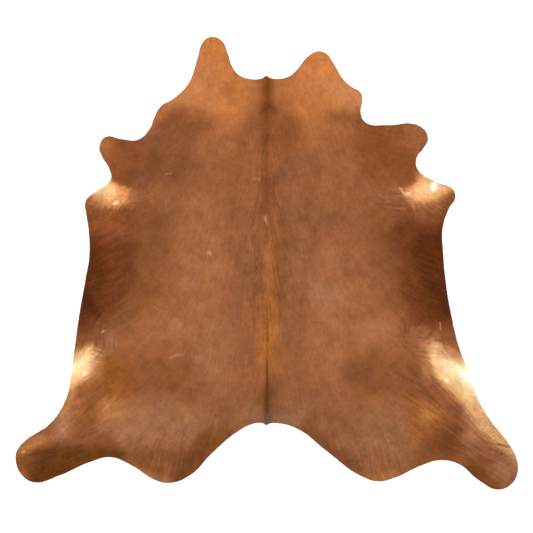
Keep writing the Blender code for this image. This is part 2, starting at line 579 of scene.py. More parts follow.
LOIN_AND_RUMP = (
    Patch("left loin, dark", -500, -487, 150, 56, 4, Tone.NUT),
    Patch("left loin, darkest", -520, -480, 55, 34, 0, Tone.RUSSET, 0.35),
    Patch("left loin, dark end", -588, -455, 62, 46, 0, Tone.NUT, 0.85),
    Patch("left loin, under the dark", -600, -530, 95, 40, 0, Tone.NUT, 0.6),
    Patch("left loin, low", -360, -530, 110, 56, 0, Tone.NUT, 0.6),
    Patch("left golden back", -255, -445, 44, 40, 0, Tone.COPPER, 0.4),
    Wash(
        "right loin, dark",
        (
            (360, -420), (440, -395), (560, -420), (693, -430), (720, -500), (605, -590), (470, -590),
            (370, -560), (330, -490),
        ),
        Tone.NUT, 0.85, 100,
    ),
    Patch("right loin, darkest", 420, -480, 60, 40, 0, Tone.RUSSET, 0.1),
    Patch("right of the croup", 135, -490, 120, 45, 90, Tone.DUSK, 0.85),
    Patch("left rump", -510, -690, 210, 100, 0, Tone.FALLOW, 0.9, 0.8),
    Patch("left rump, inner", -290, -690, 100, 50, 0, Tone.FALLOW, 0.6),
    Patch("right rump", 490, -740, 190, 100, 0, Tone.DUN, 0.9, 0.8),
    Patch("right rump, middle", 530, -810, 90, 60, 0, Tone.DUN, 0.7),
    Patch("left of the tail", -140, -640, 100, 60, 20, Tone.DUSK, 0.8),
    Patch("right of the tail", 190, -640, 160, 80, -10, Tone.DUSK, 0.95),
    Patch("right rump, inner", 350, -725, 90, 60, 0, Tone.DUSK, 0.7),
    Wash(
        "left rump, low",
        (
            (-680, -836), (-601, -815), (-513, -811), (-416, -811), (-337, -793), (-266, -745),
            (-190, -700), (-95, -778), (-337, -1042), (-557, -1042), (-720, -932),
        ),
        Tone.NUT, 0.95, 70,
    ),
    Line("left rump, dark right edge", (-375, -935), (-262, -800), 46, Tone.WALNUT, 0.55),
    Line("left rump tip", (-575, -915), (-450, -965), 30, Tone.STRAW, 0.8),
    Wash(
        "right rump, low",
        (
            (250, -770), (330, -800), (370, -835), (460, -830), (560, -830), (640, -815), (720, -850),
            (760, -910), (560, -1040), (330, -1040), (180, -830),
        ),
        Tone.DUSK, 0.85, 70,
    ),
    Line("right rump, dark left edge", (150, -715), (352, -875), 36, Tone.WALNUT, 0.5),
    Line("right rump tip", (430, -945), (560, -935), 26, Tone.STRAW, 0.5),
)
LEGS = (
    Wash(
        "left flank, golden",
        (
            (-860, -540), (-760, -500), (-720, -400), (-640, -420), (-640, -600), (-700, -680),
            (-860, -690),
        ),
        Tone.GINGER, 0.8, 80,
    ),
    Patch("left loin, by the flank", -640, -500, 60, 110, 0, Tone.GINGER, 0.6),
    Line("left thigh, brown", (-742, -510), (-800, -735), 36, Tone.NUT, 0.5),
    Patch("left thigh edge", -858, -632, 95, 46, 62, Tone.COPPER, 0.95, 0.8),
    Patch("left golden spot", -672, -634, 58, 44, 0, Tone.STRAW, 0.9),
    Wash(
        "left hock",
        ((-860, -690), (-770, -700), (-680, -740), (-640, -820), (-860, -830), (-860, -760)),
        Tone.NUT, 0.75, 70,
    ),
    Patch("left thigh rim", -866, -604, 66, 16, 68, Tone.STRAW, 0.9, 0.8),
    Patch("left thigh, soft sheen", -790, -560, 60, 30, 60, Tone.COPPER, 0.5),
    Patch("left hock, pale", -888, -712, 55, 36, 60, Tone.BLUSH, 0.9),
    Wash(
        "left hind leg",
        (
            (-1085, -872), (-1050, -835), (-1000, -812), (-917, -796), (-843, -790), (-733, -788),
            (-670, -806), (-618, -832), (-636, -856), (-680, -910), (-909, -998), (-1041, -980),
        ),
        Tone.WALNUT, 1.0, 52, 0, 4,
    ),
    Patch("left hind leg, darkest", -935, -880, 90, 30, 18, Tone.LIVER, 0.5),
    Line("left hind leg, lower edge", (-1000, -945), (-880, -905), 28, Tone.LIVER, 0.7),
    Line("left hind tip", (-1094, -838), (-995, -762), 20, Tone.STRAW, 0.75),
    Line("left hind tip, end", (-1092, -850), (-1076, -925), 24, Tone.GINGER, 0.8),
    Patch("left hind tip, inner", -1052, -858, 40, 34, 0, Tone.NUT, 0.7),
    Patch("left hock, inner pale", -610, -740, 60, 30, 10, Tone.BLUSH, 0.25),
    Wash(
        "right thigh",
        (
            (609, -413), (680, -443), (712, -531), (765, -585), (810, -640), (850, -715),
            (860, -778), (860, -890), (719, -930), (631, -890), (649, -804), (706, -734),
            (733, -672), (737, -619), (693, -597), (605, -584),
        ),
        Tone.NUT, 0.95, 70,
    ),
    Wash(
        "right thigh, golden",
        ((610, -560), (700, -580), (760, -640), (760, -720), (710, -800), (640, -800), (600, -680)),
        Tone.GINGER, 0.7, 70,
    ),
    Patch("right thigh, darkest", 780, -785, 80, 50, 20, Tone.WALNUT, 0.8),
    Patch("right golden spot", 690, -654, 46, 44, 0, Tone.STRAW, 0.55),
    Patch("right shank", 906, -778, 60, 36, -20, Tone.FALLOW, 0.8),
    Patch("right hind leg", 945, -860, 95, 50, -35, Tone.PLUM, 0.85),
    Line("right hind leg, dark edge", (890, -905), (985, -975), 38, Tone.WALNUT, 0.85),
    Patch("right hind tip", 1045, -895, 70, 50, 40, Tone.FALLOW, 0.9),
)
SPINE = (
    Patch("left of the back", -42, -20, 170, 22, 90, Tone.NUT, 0.5),
    Patch("right of the back", 58, -20, 190, 30, 90, Tone.NUT, 0.6),
    Patch("left of the croup", -78, -540, 150, 44, 90, Tone.DUSK, 0.9),
    Patch("golden back", 6, -320, 215, 46, 90, Tone.OCHRE, 0.88, 0.5),
    Patch("golden back, front", 10, 0, 160, 24, 90, Tone.OCHRE, 0.5),
    Patch("croup", 16, -580, 95, 62, 90, Tone.NUT, 0.9),
    Patch("rump, left of the tail", -80, -640, 90, 50, 0, Tone.DUN, 0.5),
    Patch("rump, right of the tail", 120, -640, 80, 60, 0, Tone.DUN, 0.7),
    Patch("tail root, beside", -36, -664, 38, 18, 10, Tone.DOVE, 0.8),
    Patch("tail root, other side", 88, -680, 50, 22, -15, Tone.DOVE, 0.8),
)
# Pale thin hair at the armpits and flanks, in its own colour, with painted highlights over it: the white
# shine patches, the bright dots, the right flank's ridge line, and in part the cream patches.
PALE_HAIR_AND_HIGHLIGHTS = (
    Wash(
        "left armpit, amber rim",
        (
            (-690, 374), (-640, 346), (-606, 330), (-600, 300), (-620, 268), (-655, 256), (-700, 256),
            (-745, 272), (-785, 300), (-810, 330), (-733, 375),
        ),
        Tone.AMBER, 0.9, 28, 0.3, 2,
    ),
    Wash(
        "left armpit",
        (
            (-697, 378), (-675, 362), (-660, 345), (-646, 325), (-636, 305), (-645, 288), (-675, 280),
            (-706, 284), (-738, 298), (-765, 315), (-800, 345), (-733, 375),
        ),
        Tone.HONEY, 1.0, 30, 0.5, 2,
    ),
    Wash(
        "left armpit, inner",
        ((-655, 352), (-618, 335), (-587, 333), (-596, 309), (-607, 283), (-640, 262)),
        Tone.AMBER, 0.6, 22, 0.4, 2,
    ),
    Wash(
        "left armpit, glow",
        ((-735, 272), (-653, 262), (-668, 236), (-697, 218), (-722, 224), (-740, 248)),
        Tone.GINGER, 0.85, 34, 0.1, 2,
    ),
    Patch("left elbow", -782, 252, 60, 34, 30, Tone.RUSSET, 0.9),
    Patch("left armpit, gold", -668, 284, 76, 26, 8, Tone.GOLD, 0.85, 0.9, 0.5),
    Patch("left armpit, cream", -690, 318, 52, 26, 20, Tone.CREAM, 0.3, 0.9, 0.7, 0.08),
    # Painted highlight: a bright glint.
    Patch("left armpit, bright dot", -655, 271, 10, 7, 10, Tone.CREAM, 1.0, 0.6, 1.0),
    Wash(
        "right armpit",
        (
            (662, 402), (645, 362), (620, 336), (600, 313), (606, 290), (633, 274), (680, 270),
            (730, 276), (765, 294), (800, 318), (845, 345), (829, 370), (746, 400),
        ),
        Tone.GOLD, 1.0, 42, 0.5, 2,
    ),
    Wash(
        "right armpit, glow",
        ((640, 275), (725, 275), (760, 290), (735, 252), (680, 245), (640, 252)),
        Tone.COPPER, 0.5, 36, 0.1, 2,
    ),
    Patch("right elbow", 798, 244, 64, 34, 63, Tone.WALNUT, 0.6),
    Patch("right armpit, honey", 706, 330, 56, 36, 20, Tone.HONEY, 0.9, 0.8, 0.8, 0.08),
    Patch("right armpit, cream", 700, 334, 30, 22, 20, Tone.CREAM, 0.4, 0.8, 0.9, 0.08),
    Patch("right armpit, cream edge", 748, 345, 34, 18, -20, Tone.CREAM, 0.4, 0.9, 0.9),
    # Painted highlight: the armpit's shine.
    Patch("right armpit, shine", 723, 338, 23, 15, 80, Tone.IVORY, 1.0, 0.5, 1.0),
    Wash(
        "left flank",
        (
            (-890, -388), (-832, -380), (-803, -368), (-778, -354), (-748, -358), (-726, -380),
            (-720, -408), (-736, -434), (-746, -465), (-770, -492), (-801, -511), (-825, -527),
            (-851, -544), (-900, -555),
        ),
        Tone.HONEY, 1.0, 42, 0.6, 4,
    ),
    Patch("left flank, rim", -738, -455, 50, 28, 80, Tone.STRAW, 0.6, 0.9, 0.2),
    Patch("left flank, upper rim", -732, -384, 24, 30, 0, Tone.AMBER, 0.45, 0.9, 0.2),
    Patch("left flank, below", -776, -550, 46, 24, 40, Tone.GINGER, 0.7, 0.9, 0.1),
    Patch("left flank, above", -700, -346, 62, 34, 50, Tone.ROSE, 0.6, 0.9, 0.1, 0.3),
    Patch("left flank, cream", -828, -446, 66, 32, 45, Tone.CREAM, 0.9, 0.8, 0.9, 0.06),
    # Painted highlights: the flank's shine and a bright glint.
    Patch("left flank, shine", -846, -452, 46, 13, 42, Tone.IVORY, 0.6, 0.9, 1.0),
    Patch("left flank, bright dot", -794, -478, 10, 6, 50, Tone.IVORY, 0.9, 0.6, 1.0),
    Wash(
        "right flank",
        (
            (722, -352), (763, -350), (799, -370), (829, -392), (890, -410), (960, -580), (1000, -655),
            (925, -672), (892, -646), (866, -625), (842, -600), (822, -575), (800, -550),
            (770, -524), (742, -500), (724, -472), (714, -440), (706, -412), (708, -380),
        ),
        Tone.HONEY, 0.97, 46, 0.5, 2,
    ),
    Wash(
        "right hind leg, pale edge",
        (
            (862, -600), (975, -600), (1124, -778), (1124, -890), (1075, -862), (1048, -835), (1020, -808),
            (985, -780), (940, -742), (896, -700), (872, -650),
        ),
        Tone.APRICOT, 0.92, 60, 0.2, 2,
    ),
    Patch("right flank, cream", 832, -476, 112, 44, -45, Tone.CREAM, 0.85, 0.8, 0.8, 0.06),
    # Painted highlights: the flank's shine and a bright glint.
    Patch("right flank, shine", 866, -482, 56, 24, -62, Tone.IVORY, 0.95, 0.9, 1.0),
    Patch("right flank, bright dot", 785, -505, 9, 6, 30, Tone.IVORY, 0.8, 0.6, 1.0),
    Patch("right flank, upper", 748, -378, 60, 26, -15, Tone.APRICOT, 0.75, 0.9, 0.3),
    Patch("right flank, outer upper", 842, -420, 30, 20, -50, Tone.APRICOT, 0.6, 0.9, 0.4),
    # Painted highlight along the flank's ridge.
    Line("right flank, ridge", (768, -426), (872, -458), 10, Tone.CREAM, 0.9, 0.9, 1.0),
    Patch("right flank, curls", 672, -322, 50, 40, 0, Tone.ROSE, 0.5, 0.9, 0.1, 0.3),
    Patch("right flank, before", 602, -385, 50, 40, 0, Tone.NUT, 0.5),
    Patch("right flank, rim", 694, -455, 50, 22, 100, Tone.STRAW, 0.65, 0.9, 0.2),
    Line("right flank, upper edge", (770, -356), (828, -398), 14, Tone.COPPER, 0.6, 0.9, 0.2),
)
LINES = (
    Line("nape stripe", (3, 830), (1, 690), 27, Tone.BARK, 0.8),
    Line("nape stripe, middle", (4, 830), (4, 690), 7, Tone.LIVER, 0.3),
    Line("arrow, left arm", (8, 694), (-26, 664), 7, Tone.BARK, 0.6),
    Line("arrow, right arm", (8, 694), (38, 670), 8, Tone.BARK, 0.6),
    Line("arrow, pale heart", (12, 680), (12, 664), 5, Tone.COPPER, 0.3),
    Line("withers line", (-4, 690), (-6, 545), 14, Tone.BARK, 0.6),
    Line("withers line, middle", (-6, 560), (-6, 380), 14, Tone.BARK, 0.4),
    Line("withers line, lower", (-5, 370), (-5, 235), 15, Tone.BARK, 0.6),
    Line("withers line, left side", (-24, 640), (-24, 500), 16, Tone.NUT, 0.55),
    Line("withers line, low left side", (-28, 372), (-28, 215), 17, Tone.NUT, 0.75),
    Line("withers line, right side", (18, 690), (18, 560), 22, Tone.BARK, 0.35),
    Line("withers line, low right side", (18, 380), (18, 215), 22, Tone.BARK, 0.28),
    Line("back line", (1, -190), (1, -560), 3.4, Tone.UMBER, 0.3),
    Line("back line, lower", (1, -420), (1, -560), 5, Tone.UMBER, 0.3),
    Line("croup line, upper end", (1, -500), (1, -570), 5, Tone.LIVER, 0.45),
    Line("croup line", (1, -572), (2, -655), 10, Tone.LIVER, 0.75),
    Line("croup line, soft sides", (2, -560), (2, -650), 26, Tone.WALNUT, 0.3),
    Line("tail root, soft sides", (3, -680), (3, -706), 30, Tone.DUN, 0.45),
    Line("tail root", (3, -668), (3, -712), 13, Tone.ASH, 0.85),
    Line("scar across the withers", (-62, 378), (-30, 376), 2.4, Tone.APRICOT, 0.85, 0.8),
    Line("scar across the withers, dark side", (-62, 373), (-40, 373), 3, Tone.RUSSET, 0.4),
    Line("scar on the spine", (-7, 208), (0, 184), 4.2, Tone.APRICOT, 0.75, 0.8),
    Line("shoulder scar", (-437, 395), (-412, 401), 3, Tone.APRICOT, 0.6, 0.8),
    Line("loin scar", (-420, -410), (-394, -399), 4.5, Tone.BLUSH),
    Line("loin scar, end", (-394, -399), (-364, -395), 5.5, Tone.BLUSH),
    Line("pale blot on the ribs", (-254, 54), (-246, 50), 7, Tone.APRICOT, 0.75),
    Line("fleck on the left cheek", (-255, 837), (-250, 842), 3, Tone.PALE_FAWN, 0.8),
    Line("dark fleck on the left cheek", (-252, 790), (-246, 788), 4, Tone.RUSSET, 0.5),
    # Painted highlight and painted shade along the left armpit fold: a pale line on its ridge and a dark one
    # beside it.
    Line("left armpit fold, pale", (-588, 334), (-610, 286), 3, Tone.APRICOT, 0.7, 0.9, 0.5),
    Line("left armpit fold, dark", (-578, 334), (-598, 290), 4, Tone.RUSSET, 0.4),
    Line("left armpit, dark above", (-634, 366), (-590, 350), 16, Tone.RUSSET, 0.75),
    # Painted highlight: pale lines along the ridges of the right armpit's V-shaped fold.
    Line("right armpit fold, left arm", (578, 330), (601, 301), 3.5, Tone.HONEY, 0.8, 0.8, 0.5),
    Line("right armpit fold, right arm", (619, 311), (601, 301), 3.5, Tone.CREAM, 0.8, 0.8, 0.5),
    Line("right armpit, dark above", (588, 352), (628, 366), 16, Tone.RUSSET, 0.75),
    # Painted highlight and painted shade along the left flank fold.
    Line("left flank fold", (-724, -384), (-756, -424), 3, Tone.CREAM, 0.4, 0.9, 0.4),
    Line("left flank fold, dark", (-716, -384), (-748, -424), 4, Tone.RUSSET, 0.3),
    Line("left flank fleck", (-716, -294), (-711, -294), 3.5, Tone.CREAM, 0.8),
    Line("right flank hair", (757, -252), (759, -282), 2.4, Tone.APRICOT, 0.7),
    # Painted highlight and painted shade along the right hock fold.
    Line("right hock fold, pale", (1010, -800), (1060, -812), 3.6, Tone.APRICOT, 0.8),
    Line("right hock fold, dark", (1006, -790), (1056, -802), 4, Tone.WALNUT, 0.6),
    Line("left hind tip fleck", (-1062, -829), (-1056, -824), 4, Tone.HONEY, 0.7),
)


@dataclass(frozen=True)
class LooseHair(Oval):
    """An oval in which the hair is long and loose."""

    strength: float = 1.0
    softness: float = 0.6

    def weight(self, places: np.ndarray) -> np.ndarray:
        """How loose the hair is at some places, from 0 to 1."""
        return self.strength * soft_rim(np.sqrt(self.away_squared(places)), self.softness)


SHAGGY_PLACES = (
    LooseHair("right flank", 690, -340, 120, 90, -30),
    LooseHair("left flank", -745, -345, 110, 80, 40),
    LooseHair("right thigh", 760, -640, 260, 150, -50, 0.7),
    LooseHair("left thigh", -760, -610, 220, 140, 60, 0.55),
    LooseHair("right hind leg", 1000, -860, 150, 80, -35, 0.8),
    LooseHair("left hind leg", -900, -800, 220, 120, 20, 0.6),
    LooseHair("right armpit", 640, 260, 160, 70, -10, 0.9),
    LooseHair("left armpit", -640, 270, 150, 60, 10, 0.8),
    LooseHair("right belly", 690, -60, 260, 110, 95, 0.8),
    LooseHair("left belly", -700, -60, 260, 110, 85, 0.8),
    LooseHair("along the spine", 0, 50, 420, 90, 90, 0.5),
    LooseHair("left rump", -430, -830, 200, 120, 0, 0.5),
    LooseHair("right rump", 460, -860, 200, 100, 0, 0.5),
)


@dataclass(frozen=True)
class CoatPattern:
    """The whole coat's colours: a ground, patches, washes and lines over it, and the way that they wander,
    with painted shade along the cut edge.
    """

    ripples: HairStreaks
    ground: Tone = Tone.BAY
    stretches: tuple[Patch | Wash | Line, ...] = NECK + SHOULDERS + BELLY + LOIN_AND_RUMP + LEGS
    steady_stretches: tuple[Patch | Wash | Line, ...] = SPINE + PALE_HAIR_AND_HIGHLIGHTS
    lines: tuple[Line, ...] = LINES
    broad_strays: tuple[SoftNoise, SoftNoise] = (SoftNoise(95, 3), SoftNoise(95, 4))
    close_strays: tuple[SoftNoise, SoftNoise] = (SoftNoise(34, 5), SoftNoise(34, 6))
    wander: float = 12.0
    close_wander: float = 0.3
    steady_wander: float = 0.3
    shaggy_places: tuple[LooseHair, ...] = SHAGGY_PLACES
    sleek_neck: LooseHair = LooseHair("neck", 0, 790, 430, 190, 0, 0.2)
    clouds: tuple[SoftNoise, ...] = (
        SoftNoise(130, 41, 0.045),
        SoftNoise(62, 42, 0.066),
        SoftNoise(31, 43, 0.082),
    )
    ripple_depth: float = 0.038
    cool_clouds: SoftNoise = SoftNoise(70, 51, 0.09)
    # Painted shade along the cut edge: how much darker, and over how many millimetres.
    edge_shade_depth: float = 0.22
    edge_shade_width: float = 7.0
    light_gain: tuple[float, float, float] = (1.15, 1.125, 1.11)
    shine: float = 0.006
    darkest: float = 0.0008

    def strayed(self, places: np.ndarray) -> np.ndarray:
        """Places pushed about, so that no patch has a drawn edge.

        Args:
            places: Rows of x and y in millimetres.

        Returns:
            The pushed places, in the same order.
        """
        broad = np.stack([noise.at(places) for noise in self.broad_strays], axis=1)
        close = np.stack([noise.at(places) for noise in self.close_strays], axis=1)
        return places + self.wander * (broad + self.close_wander * close)

    def shagginess(self, places: np.ndarray) -> np.ndarray:
        """How long and loose the hair is: 1 on the flanks, and below zero on the sleek neck."""
        most = np.max([place.weight(places) for place in self.shaggy_places], axis=0)
        return most - self.sleek_neck.weight(places)

    def mottle(self, places: np.ndarray) -> np.ndarray:
        """How light or dark the coat's clouds and ripples are at some places, about 1."""
        clouds = sum(cloud.at(places) for cloud in self.clouds)
        return 1 + clouds + self.ripple_depth * self.ripples.at(places)

    def paint(
        self, places: np.ndarray, edge_gap: np.ndarray, streak: np.ndarray
    ) -> tuple[np.ndarray, np.ndarray]:
        """The coat's colour and gloss at some places, with painted shade near the cut edge and painted
        highlights in the pale places.

        Args:
            places: Rows of x and y in millimetres.
            edge_gap: How far each place is from the cut edge, in millimetres.
            streak: How light the streak of hair is at each place.

        Returns:
            Rows of linear red, green and blue, and one gloss from 0 to 1 for each row.
        """
        colour = np.tile(np.sqrt(self.ground.linear()), (len(places), 1))
        gloss = np.zeros(len(places))
        strayed = self.strayed(places)
        steady = places + self.steady_wander * (strayed - places)
        layers = ((self.stretches, strayed), (self.steady_stretches, steady), (self.lines, places))
        for stretches, at in layers:
            for stretch in stretches:
                weight = stretch.weight(at, streak)
                colour += weight[:, None] * (np.sqrt(stretch.tone.linear()) - colour)
                gloss += weight * (stretch.gloss - gloss)
        colour = colour**2
        # Painted shade: the coat is darkened within a few millimetres of the cut edge, where the hair bends
        # down over it.
        rim = 1 - self.edge_shade_depth * fade(1 - edge_gap / self.edge_shade_width)
        colour *= (rim * self.mottle(places))[:, None]
        colour[:, 2] *= 1 + self.cool_clouds.at(places)
        return np.clip((colour - self.shine) / np.array(self.light_gain), self.darkest, 1.0), gloss


# ----------------------------------------------------------------------------------------------------------
# The shape of the hide
# ----------------------------------------------------------------------------------------------------------


@dataclass(frozen=True)
class Hump(Oval):
    """Loose skin that stands off the floor: an oval swelling."""

    height: float


@dataclass(frozen=True)
class Crease(Stroke):
    """A ridge in the skin, or a trough where the height is below zero."""

    height: float


@dataclass(frozen=True)
class SkinShape:
    """How high the skin stands: the humps that the hide's solid has, and the creases in its hair side."""

    humps: tuple[Hump, ...] = (
        Hump("left armpit", -690, 322, 135, 75, 18, 9),
        Hump("right armpit", 712, 318, 145, 78, -16, 10),
        Hump("left flank", -803, -440, 160, 88, 49, 10),
        Hump("right flank", 838, -482, 215, 92, -52, 11),
    )
    creases: tuple[Crease, ...] = (
        Crease("left armpit fold", (-588, 332), (-610, 286), 5, 1.6),
        Crease("left armpit fold, shadow side", (-600, 336), (-622, 292), 5, -0.8),
        Crease("right armpit fold, left arm", (580, 326), (601, 300), 4, 1.4),
        Crease("right armpit fold, right arm", (619, 309), (601, 300), 4, 1.4),
        Crease("left flank fold", (-712, -385), (-734, -410), 5, 1.2),
        Crease("right hock fold", (1006, -791), (1044, -801), 6, 1.3),
        Crease("right hock fold, shadow side", (1006, -780), (1044, -790), 6, -0.6),
        Crease("right hock wrinkle", (1030, -850), (1075, -838), 5, 0.9),
        Crease("right hock wrinkle, lower", (1020, -880), (1078, -872), 5, 0.8),
        Crease("spine groove, nape", (2, 810), (2, 690), 9, -0.7),
        Crease("spine groove, back", (4, -190), (4, -660), 7, -0.6),
    )

    def lift(self, places: np.ndarray) -> np.ndarray:
        """How far the flesh side stands off the floor, in millimetres.

        Args:
            places: Rows of x and y in millimetres.

        Returns:
            One height for each row.
        """
        total = np.zeros(len(places))
        for hump in self.humps:
            total += hump.height * (1 - np.minimum(hump.away_squared(places), 1.0)) ** 2
        return total

    def fold(self, places: np.ndarray) -> np.ndarray:
        """How far the creases raise or lower the hair side, in millimetres.

        Args:
            places: Rows of x and y in millimetres.

        Returns:
            One height for each row.
        """
        total = np.zeros(len(places))
        for crease in self.creases:
            total += crease.height * np.exp(-((crease.away(places) / crease.half_width) ** 2))
        return total

    def near_crease(self, places: np.ndarray, gap: float) -> np.ndarray:
        """Which places are within a gap of a crease, in millimetres, so that their grid is finer."""
        return np.any([crease.away(places) < gap for crease in self.creases], axis=0)


@dataclass
class CutEdge:
    """The hide's outline as a smooth closed line, anticlockwise from above, in millimetres."""

    line: np.ndarray
    far: float = 14.0
    outward: np.ndarray = field(init=False)
    tree: KDTree = field(init=False)

    def __post_init__(self) -> None:
        """Finds which way is out at each point, and sorts the points for a quick search."""
        run = np.roll(self.line, -1, axis=0) - np.roll(self.line, 1, axis=0)
        run /= np.hypot(*run.T)[:, None]
        self.outward = np.stack([run[:, 1], -run[:, 0]], axis=1)
        self.tree = KDTree(len(self.line))
        for index, (x, y) in enumerate(self.line):
            self.tree.insert((x, y, 0), index)
        self.tree.balance()

    @classmethod
    def of_node(cls, node: str, pitch: float, level: float = 0.6) -> "CutEdge":
        """Reads the outline from a CAD solid's upper rim.

        Args:
            node: The CAD node's name.
            pitch: How far apart the new points are, in millimetres.
            level: How far up a face looks, from 0 to 1, to be one of the top's.

        Returns:
            The outline, smoothed through the solid's own corners.
        """
        shape = bmesh.new()
        shape.from_mesh(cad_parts[node].data)
        bmesh.ops.remove_doubles(shape, verts=shape.verts, dist=1e-5)
        follows: dict[int, int] = {}
        for face in (face for face in shape.faces if face.normal.z >= level):
            for loop in face.loops:
                other = [near for near in loop.edge.link_faces if near is not face]
                if other and other[0].normal.z < level:
                    follows[loop.vert.index] = loop.link_loop_next.vert.index
        shape.verts.ensure_lookup_table()
        start = max(follows, key=lambda index: shape.verts[index].co.y)
        chain = [start]
        while follows[chain[-1]] != start:
            chain.append(follows[chain[-1]])
        corners = np.array([shape.verts[index].co.xy for index in chain]) / MM
        shape.free()
        return cls(cls.evenly(cls.smooth(corners), pitch))

    @staticmethod
    def smooth(corners: np.ndarray, steps: int = 8) -> np.ndarray:
        """A closed curve through some corners.

        Args:
            corners: Rows of x and y.
            steps: How many points each stretch gets.

        Returns:
            Rows of x and y on the curve.
        """
        before, after, second = (np.roll(corners, shift, axis=0) for shift in (1, -1, -2))
        stretches = []
        for t in np.arange(steps) / steps:
            bend = 2 * before - 5 * corners + 4 * after - second
            twist = 3 * corners - before - 3 * after + second
            stretches.append(corners + 0.5 * t * (after - before + t * (bend + t * twist)))
        return np.stack(stretches, axis=1).reshape(-1, 2)

    @staticmethod
    def evenly(line: np.ndarray, pitch: float) -> np.ndarray:
        """A closed line with its points a pitch apart.

        Args:
            line: Rows of x and y.
            pitch: The distance between two points of the new line.

        Returns:
            Rows of x and y.
        """
        closed = np.vstack([line, line[:1]])
        along = np.concatenate([[0], np.cumsum(np.hypot(*np.diff(closed, axis=0).T))])
        at = np.linspace(0, along[-1], int(along[-1] / pitch), endpoint=False)
        return np.stack([np.interp(at, along, way) for way in closed.T], axis=1)

    def inset(self, gap: float) -> np.ndarray:
        """The outline moved inwards by a gap in millimetres."""
        return self.line - gap * self.outward

    def depth(self, places: np.ndarray) -> np.ndarray:
        """How far inside the outline some places are, in millimetres, and below zero outside it.

        Close to the line it is measured square to it, and further off to its nearest point.

        Args:
            places: Rows of x and y in millimetres.

        Returns:
            One depth for each row.
        """
        depths = np.empty(len(places))
        for row, (x, y) in enumerate(places):
            point, index, _ = self.tree.find((x, y, 0))
            out = self.outward[index]
            away_x = x - point[0]
            away_y = y - point[1]
            depths[row] = -(away_x * out[0] + away_y * out[1])
            if abs(depths[row]) > self.far:
                depths[row] = hypot(away_x, away_y) * (1 if depths[row] > 0 else -1)
        return depths

    def grid(
        self, pitch: float, margin: float, wanted: Callable[[np.ndarray], np.ndarray] | None = None
    ) -> np.ndarray:
        """A staggered grid of places inside the outline.

        Args:
            pitch: The distance between two places, in millimetres.
            margin: How far they stay from the outline, in millimetres.
            wanted: Says which places are wanted, if not all.

        Returns:
            Rows of x and y in millimetres.
        """
        low = self.line.min(axis=0)
        high = self.line.max(axis=0)
        columns = np.arange(low[0], high[0], pitch)
        rows = np.arange(low[1], high[1], pitch * TRIANGLE_HEIGHT)
        x, y = np.meshgrid(columns, rows)
        x = x + (np.arange(len(rows)) % 2)[:, None] * pitch / 2
        places = np.stack([x.ravel(), y.ravel()], axis=1)
        if wanted:
            places = places[wanted(places)]
        return places[self.depth(places) > margin]


# ----------------------------------------------------------------------------------------------------------
# Meshes
# ----------------------------------------------------------------------------------------------------------


def add_object(name: str, data: bpy.types.ID) -> bpy.types.Object:
    """Puts some data in the scene as an object at the origin.

    Args:
        name: The object's name.
        data: Its mesh, light or camera.

    Returns:
        The new object.
    """
    made = bpy.data.objects.new(name, data)
    bpy.context.scene.collection.objects.link(made)
    return made


def add_mesh(name: str, points: np.ndarray, faces: list[tuple[int, ...]]) -> bpy.types.Object:
    """Makes a mesh object at the origin and puts it in the scene.

    Args:
        name: The object's name.
        points: Rows of x, y and z in metres.
        faces: The corners of each face, anticlockwise from outside.

    Returns:
        The new object.
    """
    mesh = bpy.data.meshes.new(name)
    mesh.from_pydata(points.tolist(), [], faces)
    mesh.update()
    return add_object(name, mesh)


def read(
    items: bpy.types.bpy_prop_collection, name: str, width: int = 1, kind: type = np.float32
) -> np.ndarray:
    """Reads one thing of each item in a mesh.

    Args:
        items: Its points, corners or faces, or an attribute's data.
        name: What is read.
        width: How many numbers each item has.
        kind: The kind of number.

    Returns:
        One number for each item, or one row where there are more.
    """
    values = np.empty(len(items) * width, dtype=kind)
    items.foreach_get(name, values)
    return values.reshape(-1, width) if width > 1 else values


def store(mesh: bpy.types.Mesh, name: str, kind: str, values: np.ndarray) -> None:
    """Stores one value for each point of a mesh.

    Args:
        mesh: The mesh that is given the attribute.
        name: The attribute's name.
        kind: FLOAT, FLOAT_VECTOR or FLOAT_COLOR.
        values: One row for each point.
    """
    attribute = mesh.attributes.new(name, kind, "POINT")
    key = {"FLOAT": "value", "FLOAT_VECTOR": "vector", "FLOAT_COLOR": "color"}[kind]
    attribute.data.foreach_set(key, np.ascontiguousarray(values, dtype=np.float32).ravel())


def lay_map(mesh: bpy.types.Mesh, places: np.ndarray) -> None:
    """Gives a mesh its bake map, with a place from 0 to 1 both ways for each corner of its faces."""
    layer = mesh.uv_layers.new(name=BAKE_MAP)
    layer.uv.foreach_set("vector", places.astype(np.float32).ravel())


def with_alpha(colour: np.ndarray) -> np.ndarray:
    """Rows of red, green and blue with a solid alpha after them."""
    return np.hstack([colour, np.ones((len(colour), 1))])


# ----------------------------------------------------------------------------------------------------------
# Finishes
# ----------------------------------------------------------------------------------------------------------


